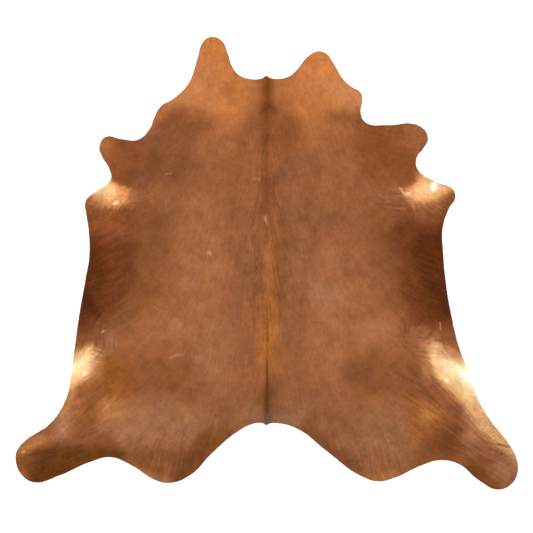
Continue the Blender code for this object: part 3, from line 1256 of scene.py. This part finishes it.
@dataclass
class NodeBench:
    """A node tree and the few steps that every tree here is built with."""

    tree: bpy.types.NodeTree

    def add(
        self, kind: str, inputs: dict[str | int, object] | None = None, **settings: object
    ) -> bpy.types.Node:
        """Adds a node.

        Args:
            kind: The node's type.
            inputs: What some of its inputs are given, by name or number.
            **settings: Its own settings, by name.

        Returns:
            The new node.
        """
        node = self.tree.nodes.new(kind)
        for name, value in settings.items():
            setattr(node, name, value)
        self.feed(node, inputs or {})
        return node

    def feed(self, node: bpy.types.Node, inputs: dict[str | int, object]) -> None:
        """Links or sets some inputs of a node.

        Args:
            node: The node.
            inputs: An output or a plain value for each input, by name or number.
        """
        for key, value in inputs.items():
            if isinstance(value, bpy.types.NodeSocket):
                self.tree.links.new(value, node.inputs[key])
            else:
                node.inputs[key].default_value = value

    def coat_tone(self) -> bpy.types.NodeSocket:
        """The coat's colour, as the mesh carries it."""
        node = self.add("ShaderNodeAttribute", attribute_name="coat_tone", attribute_type="GEOMETRY")
        return node.outputs["Color"]

    def noise(
        self,
        scale: float,
        low: float = 0.0,
        high: float = 1.0,
        stretch: tuple[float, float, float] = (1, 1, 1),
        detail: float = 2.0,
    ) -> bpy.types.NodeSocket:
        """A noise on the object's own coordinates, spread between two values.

        Args:
            scale: How many features a metre holds.
            low: The value where the noise is weakest.
            high: The value where the noise is strongest.
            stretch: What each coordinate is multiplied by first.
            detail: How many finer layers lie over the first.

        Returns:
            The output that carries the value.
        """
        place = self.add("ShaderNodeTexCoord").outputs["Object"]
        stretched = self.add("ShaderNodeMapping", {"Vector": place, "Scale": stretch}).outputs["Vector"]
        noise = self.add("ShaderNodeTexNoise", {"Vector": stretched, "Scale": scale, "Detail": detail})
        spread = {"Value": noise.outputs["Fac"], "To Min": low, "To Max": high}
        spread["From Min"], spread["From Max"] = NOISE_SPAN
        return self.add("ShaderNodeMapRange", spread).outputs["Result"]

    def math(self, operation: str, first: object, second: object) -> bpy.types.NodeSocket:
        """Works out one number from two, each a number or an output."""
        return self.add("ShaderNodeMath", {0: first, 1: second}, operation=operation).outputs[0]

    def times(self, first: object, second: object) -> bpy.types.NodeSocket:
        """One number multiplied by another, each a number or an output."""
        return self.math("MULTIPLY", first, second)

    def dimmed(self, colour: bpy.types.NodeSocket, amount: object) -> bpy.types.NodeSocket:
        """A colour made brighter or darker: multiplied by a number or an output."""
        return self.add("ShaderNodeVectorMath", {0: colour, "Scale": amount}, operation="SCALE").outputs[0]

    def tinted(
        self, colour: bpy.types.NodeSocket | Colour, tint: Colour, amount: bpy.types.NodeSocket
    ) -> bpy.types.NodeSocket:
        """A colour multiplied by a tint where an amount is high.

        Args:
            colour: The colour, or the output that carries it.
            tint: The colour that it is multiplied by.
            amount: The output that says how much, from 0 to 1.

        Returns:
            The output that carries the new colour.
        """
        factor, under, over, result = 0, 6, 7, 2
        inputs = {factor: amount, under: colour, over: tint}
        node = self.add("ShaderNodeMix", inputs, data_type="RGBA", blend_type="MULTIPLY")
        return node.outputs[result]

    def bump(self, height: bpy.types.NodeSocket, strength: float, distance: float) -> bpy.types.NodeSocket:
        """A bumped normal from a height, with a strength from 0 to 1 and a distance in metres."""
        inputs = {"Height": height, "Strength": strength, "Distance": distance}
        return self.add("ShaderNodeBump", inputs).outputs["Normal"]


def new_material(name: str) -> tuple[bpy.types.Material, NodeBench, bpy.types.Node]:
    """Starts a material.

    Args:
        name: The material's name.

    Returns:
        The material, a bench for its nodes and its shader.
    """
    material = bpy.data.materials.new(name)
    material.use_nodes = True
    return material, NodeBench(material.node_tree), material.node_tree.nodes["Principled BSDF"]


@dataclass(frozen=True)
class HairFinish:
    """Short cattle hair: the coat's own colour, mottled warmer and rosier, over fine strands."""

    name: str = "hair"
    roughness: float = 0.52
    specular: float = 0.05
    warm: Colour = (1.01, 0.995, 0.95, 1.0)
    rosy: Colour = (0.995, 0.99, 1.05, 1.0)

    def make(self) -> bpy.types.Material:
        """Builds the material.

        Returns:
            The hair's material.
        """
        material, bench, shader = new_material(self.name)
        colour = bench.tinted(bench.coat_tone(), self.warm, bench.noise(17))
        colour = bench.tinted(colour, self.rosy, bench.noise(27, stretch=(1, 0.8, 1)))
        broad = bench.noise(13, 0.93, 1.07, detail=3.0)
        close = bench.noise(60, 0.92, 1.08, (1, 0.8, 1))
        grain = bench.noise(230, 0.94, 1.06, (1, 0.7, 1), 1.0)
        strands = bench.noise(900, stretch=(1, 0.15, 1), detail=1.0)
        inputs = {
            "Base Color": bench.dimmed(colour, bench.times(bench.times(broad, close), grain)),
            "Roughness": bench.noise(120, self.roughness - 0.05, self.roughness + 0.05),
            "Specular IOR Level": self.specular,
            "Normal": bench.bump(strands, 0.25, 0.3 * MM),
        }
        bench.feed(shader, inputs)
        return material


@dataclass(frozen=True)
class SkinFinish:
    """The skin at the roots of the hair: the coat's colour darkened as painted shade, as if in the hair's
    shadow, and pored.
    """

    depth: float = 0.7
    roughness: float = 0.6

    def make(self) -> bpy.types.Material:
        """Builds the material.

        Returns:
            The skin's material.
        """
        material, bench, shader = new_material("shaded skin under the hair")
        # Painted shade: the coat's colour darkened, so that gaps between the blades read as shadow.
        shade = bench.times(bench.noise(160, 0.9, 1.1, (1, 0.5, 1), 3.0), self.depth)
        pores = bench.noise(1400, stretch=(1, 0.5, 1))
        inputs = {
            "Base Color": bench.dimmed(bench.coat_tone(), shade),
            "Roughness": bench.noise(300, self.roughness - 0.06, self.roughness + 0.06),
            "Specular IOR Level": 0.08,
            "Normal": bench.bump(pores, 0.4, 0.4 * MM),
        }
        bench.feed(shader, inputs)
        return material


@dataclass(frozen=True)
class CutFinish:
    """The cut through the leather: pale, tight fibres."""

    colour: Colour = (0.30, 0.17, 0.09, 1.0)
    shade: Colour = (0.75, 0.68, 0.6, 1.0)

    def make(self) -> bpy.types.Material:
        """Builds the material.

        Returns:
            The cut edge's material.
        """
        material, bench, shader = new_material("cut leather")
        layers = bench.noise(240, stretch=(1, 1, 5), detail=3.0)
        fibres = bench.noise(1500, stretch=(1, 1, 3))
        inputs = {
            "Base Color": bench.tinted(self.colour, self.shade, layers),
            "Roughness": bench.noise(300, 0.72, 0.86),
            "Specular IOR Level": 0.2,
            "Normal": bench.bump(fibres, 0.5, 0.4 * MM),
        }
        bench.feed(shader, inputs)
        return material


@dataclass(frozen=True)
class SuedeFinish:
    """The flesh side: buffed suede with a short nap, brushed one way and another."""

    colour: Colour = (0.50, 0.40, 0.30, 1.0)
    stain: Colour = (0.84, 0.76, 0.68, 1.0)

    def make(self) -> bpy.types.Material:
        """Builds the material.

        Returns:
            The flesh side's material.
        """
        material, bench, shader = new_material("suede")
        colour = bench.tinted(self.colour, self.stain, bench.noise(5, detail=4.0))
        nap = bench.noise(60, 0.94, 1.05, (1, 0.6, 1), 4.0)
        grain = bench.noise(700, 0.95, 1.05)
        fibres = bench.noise(1300, detail=3.0)
        inputs = {
            "Base Color": bench.dimmed(colour, bench.times(nap, grain)),
            "Roughness": bench.noise(90, 0.84, 0.96),
            "Specular IOR Level": 0.15,
            "Sheen Weight": 0.25,
            "Sheen Roughness": 0.5,
            "Normal": bench.bump(fibres, 0.6, 0.6 * MM),
        }
        bench.feed(shader, inputs)
        return material


@dataclass(frozen=True)
class FloorFinish:
    """A plain, pale studio floor."""

    colour: Colour = (0.93, 0.93, 0.93, 1.0)

    def make(self) -> bpy.types.Material:
        """Builds the material.

        Returns:
            The floor's material.
        """
        material, bench, shader = new_material("studio floor")
        bench.feed(shader, {"Base Color": self.colour, "Roughness": 0.9, "Specular IOR Level": 0.0})
        return material


# ----------------------------------------------------------------------------------------------------------
# The rug's pieces
# ----------------------------------------------------------------------------------------------------------


class Side(Enum):
    """The leather's sides, each with the number of its finish."""

    HAIR = 0
    CUT = 1
    FLESH = 2


@dataclass
class Leather:
    """The tanned skin: a closed sheet with a hair side, a cut edge and a flesh side. Sizes in millimetres."""

    outline: CutEdge
    shape: SkinShape
    pattern: CoatPattern
    streaks: HairStreaks
    thickness: float = 2.4
    inset: float = 1.5
    round_over: float = 0.7
    edge_levels: tuple[float, float] = (0.7, 0.3)
    hair_side_pitch: float = 7.5
    hair_side_margin: float = 5.0
    clear_of_crease: float = 16.0
    crease_pitch: float = 2.6
    crease_margin: float = 4.5
    close_to_crease: float = 13.0
    flesh_side_pitch: float = 21.0
    flesh_side_margin: float = 12.0
    name: str = "leather"
    hair_faces: int = field(init=False, default=0)
    wall_faces: int = field(init=False, default=0)

    def hair_side_places(self) -> np.ndarray:
        """The grid of the hair side, finer about each crease.

        Returns:
            Rows of x and y in millimetres.
        """
        coarse = self.outline.grid(
            self.hair_side_pitch,
            self.hair_side_margin,
            lambda places: ~self.shape.near_crease(places, self.clear_of_crease),
        )
        fine = self.outline.grid(
            self.crease_pitch,
            self.crease_margin,
            lambda places: self.shape.near_crease(places, self.close_to_crease),
        )
        return np.vstack([coarse, fine])

    def heights(self, places: np.ndarray, part: float) -> np.ndarray:
        """Points in metres, part of the way up through the leather.

        Args:
            places: Rows of x and y in millimetres.
            part: 0 on the flesh side and 1 on the hair side.

        Returns:
            Rows of x, y and z in metres.
        """
        up = self.shape.lift(places) + part * self.thickness
        if part == 1:
            up = up + self.shape.fold(places)
        return np.column_stack([places, up]) * MM

    @staticmethod
    def filled(ring: np.ndarray, inner: np.ndarray, around: list[tuple[int, int]]) -> list[list[int]]:
        """Fills a ring of the edge with triangles.

        Args:
            ring: Rows of x, y and z in metres.
            inner: Rows of x and y inside the ring, in millimetres.
            around: Each stretch of the ring, as the numbers of its two points.

        Returns:
            The corners of each triangle: the ring's points count first, then the inner ones.
        """
        places = np.vstack([ring[:, :2] / MM, inner])
        _, _, faces, *_ = delaunay_2d_cdt(places.tolist(), around, [], 1, 1e-4)
        return faces

    def build(self) -> bpy.types.Object:
        """Makes the sheet.

        Returns:
            The leather as one closed mesh, with the hair side's faces first.
        """
        rounded = self.outline.inset(self.inset + self.round_over)
        upright = self.outline.inset(self.inset)
        rings = [
            self.heights(rounded, 1),
            *(self.heights(upright, level) for level in self.edge_levels),
            self.heights(rounded, 0),
        ]
        count = len(self.outline.line)
        around = [(i, (i + 1) % count) for i in range(count)]
        over = self.hair_side_places()
        under = self.outline.grid(self.flesh_side_pitch, self.flesh_side_margin)
        upper = self.filled(rings[0], over, around)
        lower = self.filled(rings[-1], under, around)
        points = np.vstack([*rings, self.heights(over, 1), self.heights(under, 0)])
        first_low = (len(rings) - 1) * count
        first_over = len(rings) * count
        first_under = first_over + len(over)
        faces = [tuple(i if i < count else i - count + first_over for i in face) for face in upper]
        self.hair_faces = len(faces)
        for top in range(0, first_low, count):
            faces += [(top + j, top + i, top + count + i, top + count + j) for i, j in around]
        self.wall_faces = len(faces) - self.hair_faces
        for face in lower:
            turned = [i + first_low if i < count else i - count + first_under for i in face]
            faces.append(tuple(reversed(turned)))
        piece = add_mesh(self.name, points, faces)
        piece.data.shade_smooth()
        return piece

    def dress(self, piece: bpy.types.Object) -> None:
        """Colours the leather and gives each side its finish.

        Args:
            piece: The leather as built.
        """
        mesh = piece.data
        places = read(mesh.vertices, "co", 3)[:, :2].astype(float) / MM
        gap = self.outline.depth(places)
        colour, _ = self.pattern.paint(places, np.maximum(gap, 0), self.streaks.at(places))
        store(mesh, "coat_tone", "FLOAT_COLOR", with_alpha(colour))
        store(mesh, "edge_gap", "FLOAT", gap)
        for finish in (SkinFinish(), CutFinish(), SuedeFinish()):
            mesh.materials.append(finish.make())
        sides = np.full(len(mesh.polygons), Side.FLESH.value, dtype=np.int32)
        sides[: self.hair_faces + self.wall_faces] = Side.CUT.value
        sides[: self.hair_faces] = Side.HAIR.value
        mesh.polygons.foreach_set("material_index", sides)
        self.lay_out_map(mesh, places, sides)

    def lay_out_map(self, mesh: bpy.types.Mesh, places: np.ndarray, sides: np.ndarray) -> None:
        """Lays the hair side, the flesh side and the cut edge out on one map.

        The hair side takes the map's lower left and the flesh side its lower right. The edge lies in rows
        above them.

        Args:
            mesh: The leather's mesh.
            places: Where its points are, in millimetres.
            sides: Which side each face belongs to.
        """
        hair_size = 0.60
        flesh_size = 0.36
        flesh_start = (0.63, MAP_MARGIN)
        edge_start = 0.60
        edge_size = 0.39
        rows = 12
        row_gap = 0.1
        spare_stations = 1.5
        corners = read(mesh.loops, "vertex_index", kind=np.int32)
        side = np.repeat(sides, read(mesh.polygons, "loop_total", kind=np.int32))
        flat = (places[corners] - places.min(axis=0)) / np.ptp(places[:, 0])
        on_hair = (side == Side.HAIR.value)[:, None]
        uv = np.where(on_hair, MAP_MARGIN + hair_size * flat, flesh_start + flesh_size * flat)
        count = len(self.outline.line)
        per_row = count / rows
        wall = np.flatnonzero(side == Side.CUT.value)
        ring, station = np.divmod(corners[wall], count)
        quad = np.arange(len(wall)) // 4 % count
        row = (quad // per_row).astype(int)
        station = np.where(station < quad, station + count, station)
        along = (1 - 2 * MAP_MARGIN) * (station - row * per_row) / (per_row + spare_stations)
        up = row + row_gap + (1 - 2 * row_gap) * ring / 3
        uv[wall, 0] = MAP_MARGIN + along
        uv[wall, 1] = edge_start + up * edge_size / rows
        lay_map(mesh, uv)

    def hand_over(self, piece: bpy.types.Object, coats: list[bpy.types.Object]) -> None:
        """Puts the leather on the body that the hide rides on, and hides the hide's CAD solid, which it
        stands for.

        Args:
            piece: The finished leather.
            coats: The pieces of hair on it; not used.
        """
        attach(piece, BODY)
        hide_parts(CAD_NODE)


class Region(Enum):
    """The parts of the coat that are made one at a time."""

    NECK = "coat_neck"
    LEFT_SIDE = "coat_left_side"
    RIGHT_SIDE = "coat_right_side"
    LEFT_RUMP = "coat_left_rump"
    RIGHT_RUMP = "coat_right_rump"

    @property
    def number(self) -> int:
        """Where the part comes in the order above, from 0."""
        return list(Region).index(self)

    @classmethod
    def of(cls, places: np.ndarray) -> np.ndarray:
        """Which part of the coat each place is in.

        Args:
            places: Rows of x and y in millimetres.

        Returns:
            The part's number for each row.
        """
        neck_from = 430
        rump_from = -330
        right = (places[:, 0] > 0).astype(int)
        side = cls.LEFT_SIDE.number + right
        rump = cls.LEFT_RUMP.number + right
        part = np.where(places[:, 1] > rump_from, side, rump)
        return np.where(places[:, 1] > neck_from, cls.NECK.number, part)


@dataclass
class SowingTree(NodeBench):
    """The node tree that sows blades on a part of the skin. Its sizes are named inputs."""

    least_rise: float = 0.3
    most_rise: float = 1.7
    given: bpy.types.bpy_prop_collection = field(init=False)

    def __post_init__(self) -> None:
        """Gives the tree its inputs and its output."""
        sizes = ("Blades per square metre", "Shortest", "Longest", "Width", "Rise", "Stray", "Roll")
        sockets = {
            "Skin": "NodeSocketGeometry",
            "Blade": "NodeSocketObject",
            "Hair": "NodeSocketMaterial",
            **dict.fromkeys(sizes, "NodeSocketFloat"),
            "Seed": "NodeSocketInt",
        }
        for name, kind in sockets.items():
            self.tree.interface.new_socket(name=name, in_out="INPUT", socket_type=kind)
        self.tree.interface.new_socket(name="Coat", in_out="OUTPUT", socket_type="NodeSocketGeometry")
        self.given = self.add("NodeGroupInput").outputs

    def build(self) -> bpy.types.NodeTree:
        """Builds the tree: it sows points, stands a blade on each and makes one plain mesh of them.

        Returns:
            The tree.
        """
        given = self.given
        density = self.times(self.carried("cover"), given["Blades per square metre"])
        sown = self.add(
            "GeometryNodeDistributePointsOnFaces",
            {"Mesh": given["Skin"], "Density": density, "Seed": given["Seed"]},
            distribute_method="RANDOM",
        )
        length = self.chance(given["Shortest"], given["Longest"], 4)
        length = self.math("MINIMUM", length, self.carried("reach"))
        size = self.add("ShaderNodeCombineXYZ", {"X": length, "Y": given["Width"], "Z": 1.0})
        blade = self.add("GeometryNodeObjectInfo", {"Object": given["Blade"]})
        inputs = {
            "Points": sown.outputs["Points"],
            "Instance": blade.outputs["Geometry"],
            "Rotation": self.laid(sown.outputs["Normal"]),
            "Scale": size.outputs["Vector"],
        }
        planted = self.add("GeometryNodeInstanceOnPoints", inputs)
        real = self.add("GeometryNodeRealizeInstances", {"Geometry": planted.outputs["Instances"]})
        inputs = {"Geometry": real.outputs["Geometry"], "Material": given["Hair"]}
        dressed = self.add("GeometryNodeSetMaterial", inputs)
        self.add("NodeGroupOutput", {"Coat": dressed.outputs["Geometry"]})
        return self.tree

    def laid(self, normal: bpy.types.NodeSocket) -> bpy.types.NodeSocket:
        """How each blade is turned: along the lie of the hair, then tumbled a little by chance.

        Args:
            normal: The output with the way that the skin faces.

        Returns:
            The output that carries the rotation.
        """
        axes = self.add(
            "FunctionNodeAxesToRotation",
            {"Primary Axis": normal, "Secondary Axis": self.carried("lie", "FLOAT_VECTOR")},
            primary_axis="Z",
            secondary_axis="X",
        )
        up = self.times(self.given["Rise"], -1.0)
        tumble = {
            "X": self.either_way("Roll", 1),
            "Y": self.chance(self.times(up, self.most_rise), self.times(up, self.least_rise), 2),
            "Z": self.either_way("Stray", 3),
        }
        tumbled = self.add("ShaderNodeCombineXYZ", tumble)
        turned = self.add("FunctionNodeEulerToRotation", {"Euler": tumbled.outputs["Vector"]})
        inputs = {"Rotation": axes.outputs["Rotation"], "Rotate By": turned.outputs["Rotation"]}
        return self.add("FunctionNodeRotateRotation", inputs, rotation_space="LOCAL").outputs["Rotation"]

    def carried(self, name: str, kind: str = "FLOAT") -> bpy.types.NodeSocket:
        """A value that the skin carries, as FLOAT or FLOAT_VECTOR."""
        node = self.add("GeometryNodeInputNamedAttribute", {"Name": name}, data_type=kind)
        return node.outputs["Attribute"]

    def either_way(self, size: str, draw: int) -> bpy.types.NodeSocket:
        """A random number for each blade, up to one of the tree's sizes below and above zero."""
        return self.chance(self.times(self.given[size], -1.0), self.given[size], draw)

    def chance(
        self, lowest: bpy.types.NodeSocket, highest: bpy.types.NodeSocket, draw: int
    ) -> bpy.types.NodeSocket:
        """A random number for each blade.

        Args:
            lowest: The output with the lowest number.
            highest: The output with the highest number.
            draw: Which draw it is, so that no two are alike.

        Returns:
            The output that carries the number.
        """
        low, high, seed, result = 2, 3, 8, 1
        own_seed = self.math("ADD", self.times(self.given["Seed"], 10.0), float(draw))
        inputs = {low: lowest, high: highest, seed: own_seed}
        return self.add("FunctionNodeRandomValue", inputs, data_type="FLOAT").outputs[result]


@dataclass
class HairCoat:
    """The short hair: blades that each stand for a lock of it, laid over the leather's hair side.

    The blades' own sizes are in metres and the other lengths in millimetres.
    """

    leather: Leather
    skin: bpy.types.Object
    lie: HairLie
    locks: HairStreaks
    tree: bpy.types.NodeTree
    hair: bpy.types.Material
    sleek_hair: bpy.types.Material
    per_square_metre: float = 250_000
    edge_extra: float = 0.9
    edge_width: float = 12.0
    shortest: float = 13 * MM
    longest: float = 19 * MM
    width: float = 1.7 * MM
    rise: float = radians(7)
    stray: float = radians(9)
    roll: float = radians(14)
    overhang: float = 0.5
    tried_lengths: tuple[float, ...] = (2.5, 4, 6, 8, 10, 12.5, 15, 17.5, 20)
    looseness: float = 3.2
    streak_depth: float = 0.035
    lock_depth: float = 0.03
    chance_depth: float = 0.11
    steady_chance: float = 0.6
    gloss_calm: float = 0.6
    # Painted shade and light along each blade: its root corners darker, its tip lighter.
    root_shade_tip_light: tuple[float, float, float] = (0.9, 1.12, 0.9)
    chance_seed: int = 77
    sleek_seed: int = 78

    def blade(self) -> bpy.types.Object:
        """One blade, a unit long and wide, pointing along +X and facing up."""
        corners = np.array([(0, -0.5, 0), (1, 0, 0), (0, 0.5, 0)])
        return add_mesh("blade", corners, [(0, 1, 2)])

    def reach(self, places: np.ndarray, way: np.ndarray) -> np.ndarray:
        """How long a hair may be at some places before it passes the cut edge, in millimetres.

        Args:
            places: Rows of x and y in millimetres.
            way: The hair's heading at each.

        Returns:
            One length for each row.
        """
        free_length = 40.0
        close = 24.0
        stub = 2.0
        lengths = np.full(len(places), free_length)
        near = np.flatnonzero(self.leather.outline.depth(places) < close)
        lengths[near] = stub
        open_still = np.ones(len(near), dtype=bool)
        for length in self.tried_lengths:
            tips = places[near] + length * way[near]
            open_still &= self.leather.outline.depth(tips) > -self.overhang
            lengths[near[open_still]] = length
        return lengths

    def plot(self, region: Region) -> bpy.types.Object:
        """Copies a part of the leather's hair side, to sow hair on.

        Args:
            region: The part of the coat.

        Returns:
            An open sheet that carries the lie and the reach of the hair.
        """
        skin = self.skin.data
        points = read(skin.vertices, "co", 3)
        corners = read(skin.loops, "vertex_index", kind=np.int32)
        triangles = corners[: 3 * self.leather.hair_faces].reshape(-1, 3)
        middles = points[triangles, :2].mean(axis=1) / MM
        used, inverse = np.unique(triangles[Region.of(middles) == region.number], return_inverse=True)
        faces = inverse.reshape(-1, 3)
        plot = add_mesh("plot", points[used].astype(float), [tuple(face) for face in faces.tolist()])
        places = points[used, :2].astype(float) / MM
        way = self.lie.at(places)
        gap = read(skin.attributes["edge_gap"].data, "value")[used]
        store(plot.data, "lie", "FLOAT_VECTOR", np.column_stack([way, np.zeros(len(way))]))
        store(plot.data, "reach", "FLOAT", self.reach(places, way) * MM)
        store(plot.data, "edge_gap", "FLOAT", gap)
        store(plot.data, "cover", "FLOAT", 1 + self.edge_extra * fade(1 - gap / self.edge_width))
        return plot

    def build(self, region: Region) -> bpy.types.Object:
        """Sows one part of the coat.

        Args:
            region: The part of the coat.

        Returns:
            The blades as one plain mesh.
        """
        plot = self.plot(region)
        blade = self.blade()
        sowing = plot.modifiers.new("sow hair", "NODES")
        sowing.node_group = self.tree
        settings = {
            "Blade": blade,
            "Hair": self.hair,
            "Blades per square metre": float(self.per_square_metre),
            "Shortest": self.shortest,
            "Longest": self.longest,
            "Width": self.width,
            "Rise": self.rise,
            "Stray": self.stray,
            "Roll": self.roll,
            "Seed": 1 + region.number,
        }
        for socket in self.tree.interface.items_tree:
            if socket.in_out == "INPUT" and socket.name in settings:
                sowing[socket.identifier] = settings[socket.name]
        view = bpy.context.evaluated_depsgraph_get()
        mesh = bpy.data.meshes.new_from_object(
            plot.evaluated_get(view), preserve_all_data_layers=True, depsgraph=view
        )
        mesh.name = region.value
        coat = add_object(region.value, mesh)
        bpy.data.objects.remove(plot)
        bpy.data.objects.remove(blade)
        return coat

    def dress(self, coat: bpy.types.Object) -> None:
        """Colours each blade from where its root is, with painted shade at its root and painted light at its
        tip, and gives the sleek ones a finish of their own.

        Args:
            coat: One part of the coat.
        """
        mesh = coat.data
        blades = read(mesh.vertices, "co", 3).reshape(-1, 3, 3).astype(float)
        roots = (blades[:, 0, :2] + blades[:, 2, :2]) / (2 * MM)
        gap = read(mesh.attributes["edge_gap"].data, "value").reshape(-1, 3)[:, 0].astype(float)
        streak = self.leather.streaks.at(roots)
        colour, gloss = self.leather.pattern.paint(roots, gap, streak)
        colour = np.clip(colour * self.shade(roots, gloss, streak)[:, None], 0, 1)
        # Painted shade at the roots and painted light at the tips.
        tones = np.clip(colour[:, None, :] * np.array(self.root_shade_tip_light)[None, :, None], 0, 1)
        for name in ("lie", "reach", "edge_gap", "cover"):
            if name in mesh.attributes:
                mesh.attributes.remove(mesh.attributes[name])
        store(mesh, "coat_tone", "FLOAT_COLOR", with_alpha(tones.reshape(-1, 3)))
        mesh.materials.clear()
        mesh.materials.append(self.hair)
        mesh.materials.append(self.sleek_hair)
        sleek = np.random.default_rng(self.sleek_seed).random(len(roots)) < gloss
        mesh.polygons.foreach_set("material_index", sleek.astype(np.int32))
        flat = blades[:, :, :2].reshape(-1, 2)
        flat = (flat - flat.min(axis=0))[read(mesh.loops, "vertex_index", kind=np.int32)]
        lay_map(mesh, MAP_MARGIN + (1 - 2 * MAP_MARGIN) * flat / flat.max())

    def shade(self, roots: np.ndarray, gloss: np.ndarray, streak: np.ndarray) -> np.ndarray:
        """How light or dark each blade is: by its streak, by its lock and by chance.

        Args:
            roots: Rows of x and y in millimetres.
            gloss: How sleek the coat is at each.
            streak: How light the streak of hair is at each.

        Returns:
            One factor for each blade, about 1.
        """
        chance = np.random.default_rng(self.chance_seed).random(len(roots)) * 2 - 1
        loose = 1 + self.looseness * self.leather.pattern.shagginess(roots)
        drawn = loose * (self.streak_depth * streak + self.lock_depth * self.locks.at(roots))
        own = self.chance_depth * (self.steady_chance + (1 - self.steady_chance) * loose) * chance
        return 1 + (1 - self.gloss_calm * gloss) * (drawn + own)

    def hand_over(self, coat: bpy.types.Object) -> None:
        """Makes this part of the coat move with the hide."""
        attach(coat, BODY)


# ----------------------------------------------------------------------------------------------------------
# The studio
# ----------------------------------------------------------------------------------------------------------


@dataclass
class Studio:
    """A plain pale floor, soft light and a camera that looks straight down. Sizes in metres."""

    lens: float = 85.0
    sensor: float = 36.0
    view_width: float = 2.3398
    view_middle: tuple[float, float] = (-0.0013, -0.0151)
    floor_half_side: float = 20.0
    floor_gap: float = 0.0004
    sky: float = 0.62
    box_power: float = 150.0
    box_size: tuple[float, float] = (0.7, 3.0)
    box_aside: float = 1.75
    box_height: float = 5.2
    box_tilt: float = radians(17)

    def lay_floor(self) -> None:
        """Lays the floor just under the rug."""
        half = self.floor_half_side
        corners = [(-half, -half), (half, -half), (half, half), (-half, half)]
        points = np.array([(*corner, -self.floor_gap) for corner in corners])
        floor = add_mesh("floor", points, [(0, 1, 2, 3)])
        floor.data.materials.append(FloorFinish().make())

    def hang_lights(self) -> None:
        """Hangs two long soft boxes level with the camera, and lights the room all round."""
        world = bpy.data.worlds.new("studio")
        world.use_nodes = True
        background = world.node_tree.nodes["Background"]
        background.inputs["Strength"].default_value = self.sky
        background.inputs["Color"].default_value = (1, 1, 1, 1)
        bpy.context.scene.world = world
        for side in (-1, 1):
            light = bpy.data.lights.new("soft box", "AREA")
            light.shape = "RECTANGLE"
            light.size, light.size_y = self.box_size
            light.energy = self.box_power
            box = add_object("soft box", light)
            box.location = (side * self.box_aside, 0.0, self.box_height)
            box.rotation_euler = (0, side * self.box_tilt, 0)
            box.visible_camera = False

    def set_camera(self) -> None:
        """Hangs the camera over the middle of the rug."""
        camera = bpy.data.cameras.new("camera")
        camera.lens = self.lens
        camera.sensor_width = self.sensor
        holder = add_object("camera", camera)
        holder.location = (*self.view_middle, self.view_width * self.lens / self.sensor)
        bpy.context.scene.camera = holder

    def set_up(self) -> None:
        """Sets up the floor, the lights, the camera and plain colours."""
        self.lay_floor()
        self.hang_lights()
        self.set_camera()
        bpy.context.scene.view_settings.view_transform = "Standard"


def main() -> None:
    """Builds the rug piece by piece, then the studio round it."""
    logging.basicConfig(level=logging.INFO, format="%(name)s: %(message)s")
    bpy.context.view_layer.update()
    outline = CutEdge.of_node(CAD_NODE, pitch=6.0)
    LOG.info("outline: %d points", len(outline.line))
    lie = HairLie()
    streaks = HairStreaks(lie)
    pattern = CoatPattern(HairStreaks(lie, pitch=8, half_run=3, seed=32, across_hair=True))
    leather = Leather(outline, SkinShape(), pattern, streaks)
    skin = leather.build()
    leather.dress(skin)
    LOG.info("%s: %d faces", skin.name, len(skin.data.polygons))
    hair = HairFinish().make()
    sleek_hair = HairFinish("sleek hair", roughness=0.22, specular=0.5).make()
    locks = HairStreaks(lie, pitch=8, half_run=5, seed=33)
    tree = SowingTree(bpy.data.node_groups.new("sow hair", "GeometryNodeTree")).build()
    coat = HairCoat(leather, skin, lie, locks, tree, hair, sleek_hair)
    parts = []
    for region in Region:
        part = coat.build(region)
        coat.dress(part)
        coat.hand_over(part)
        parts.append(part)
        LOG.info("%s: %d blades", part.name, len(part.data.polygons))
    leather.hand_over(skin, parts)
    Studio().set_up()


if __name__ == "__main__":
    main()
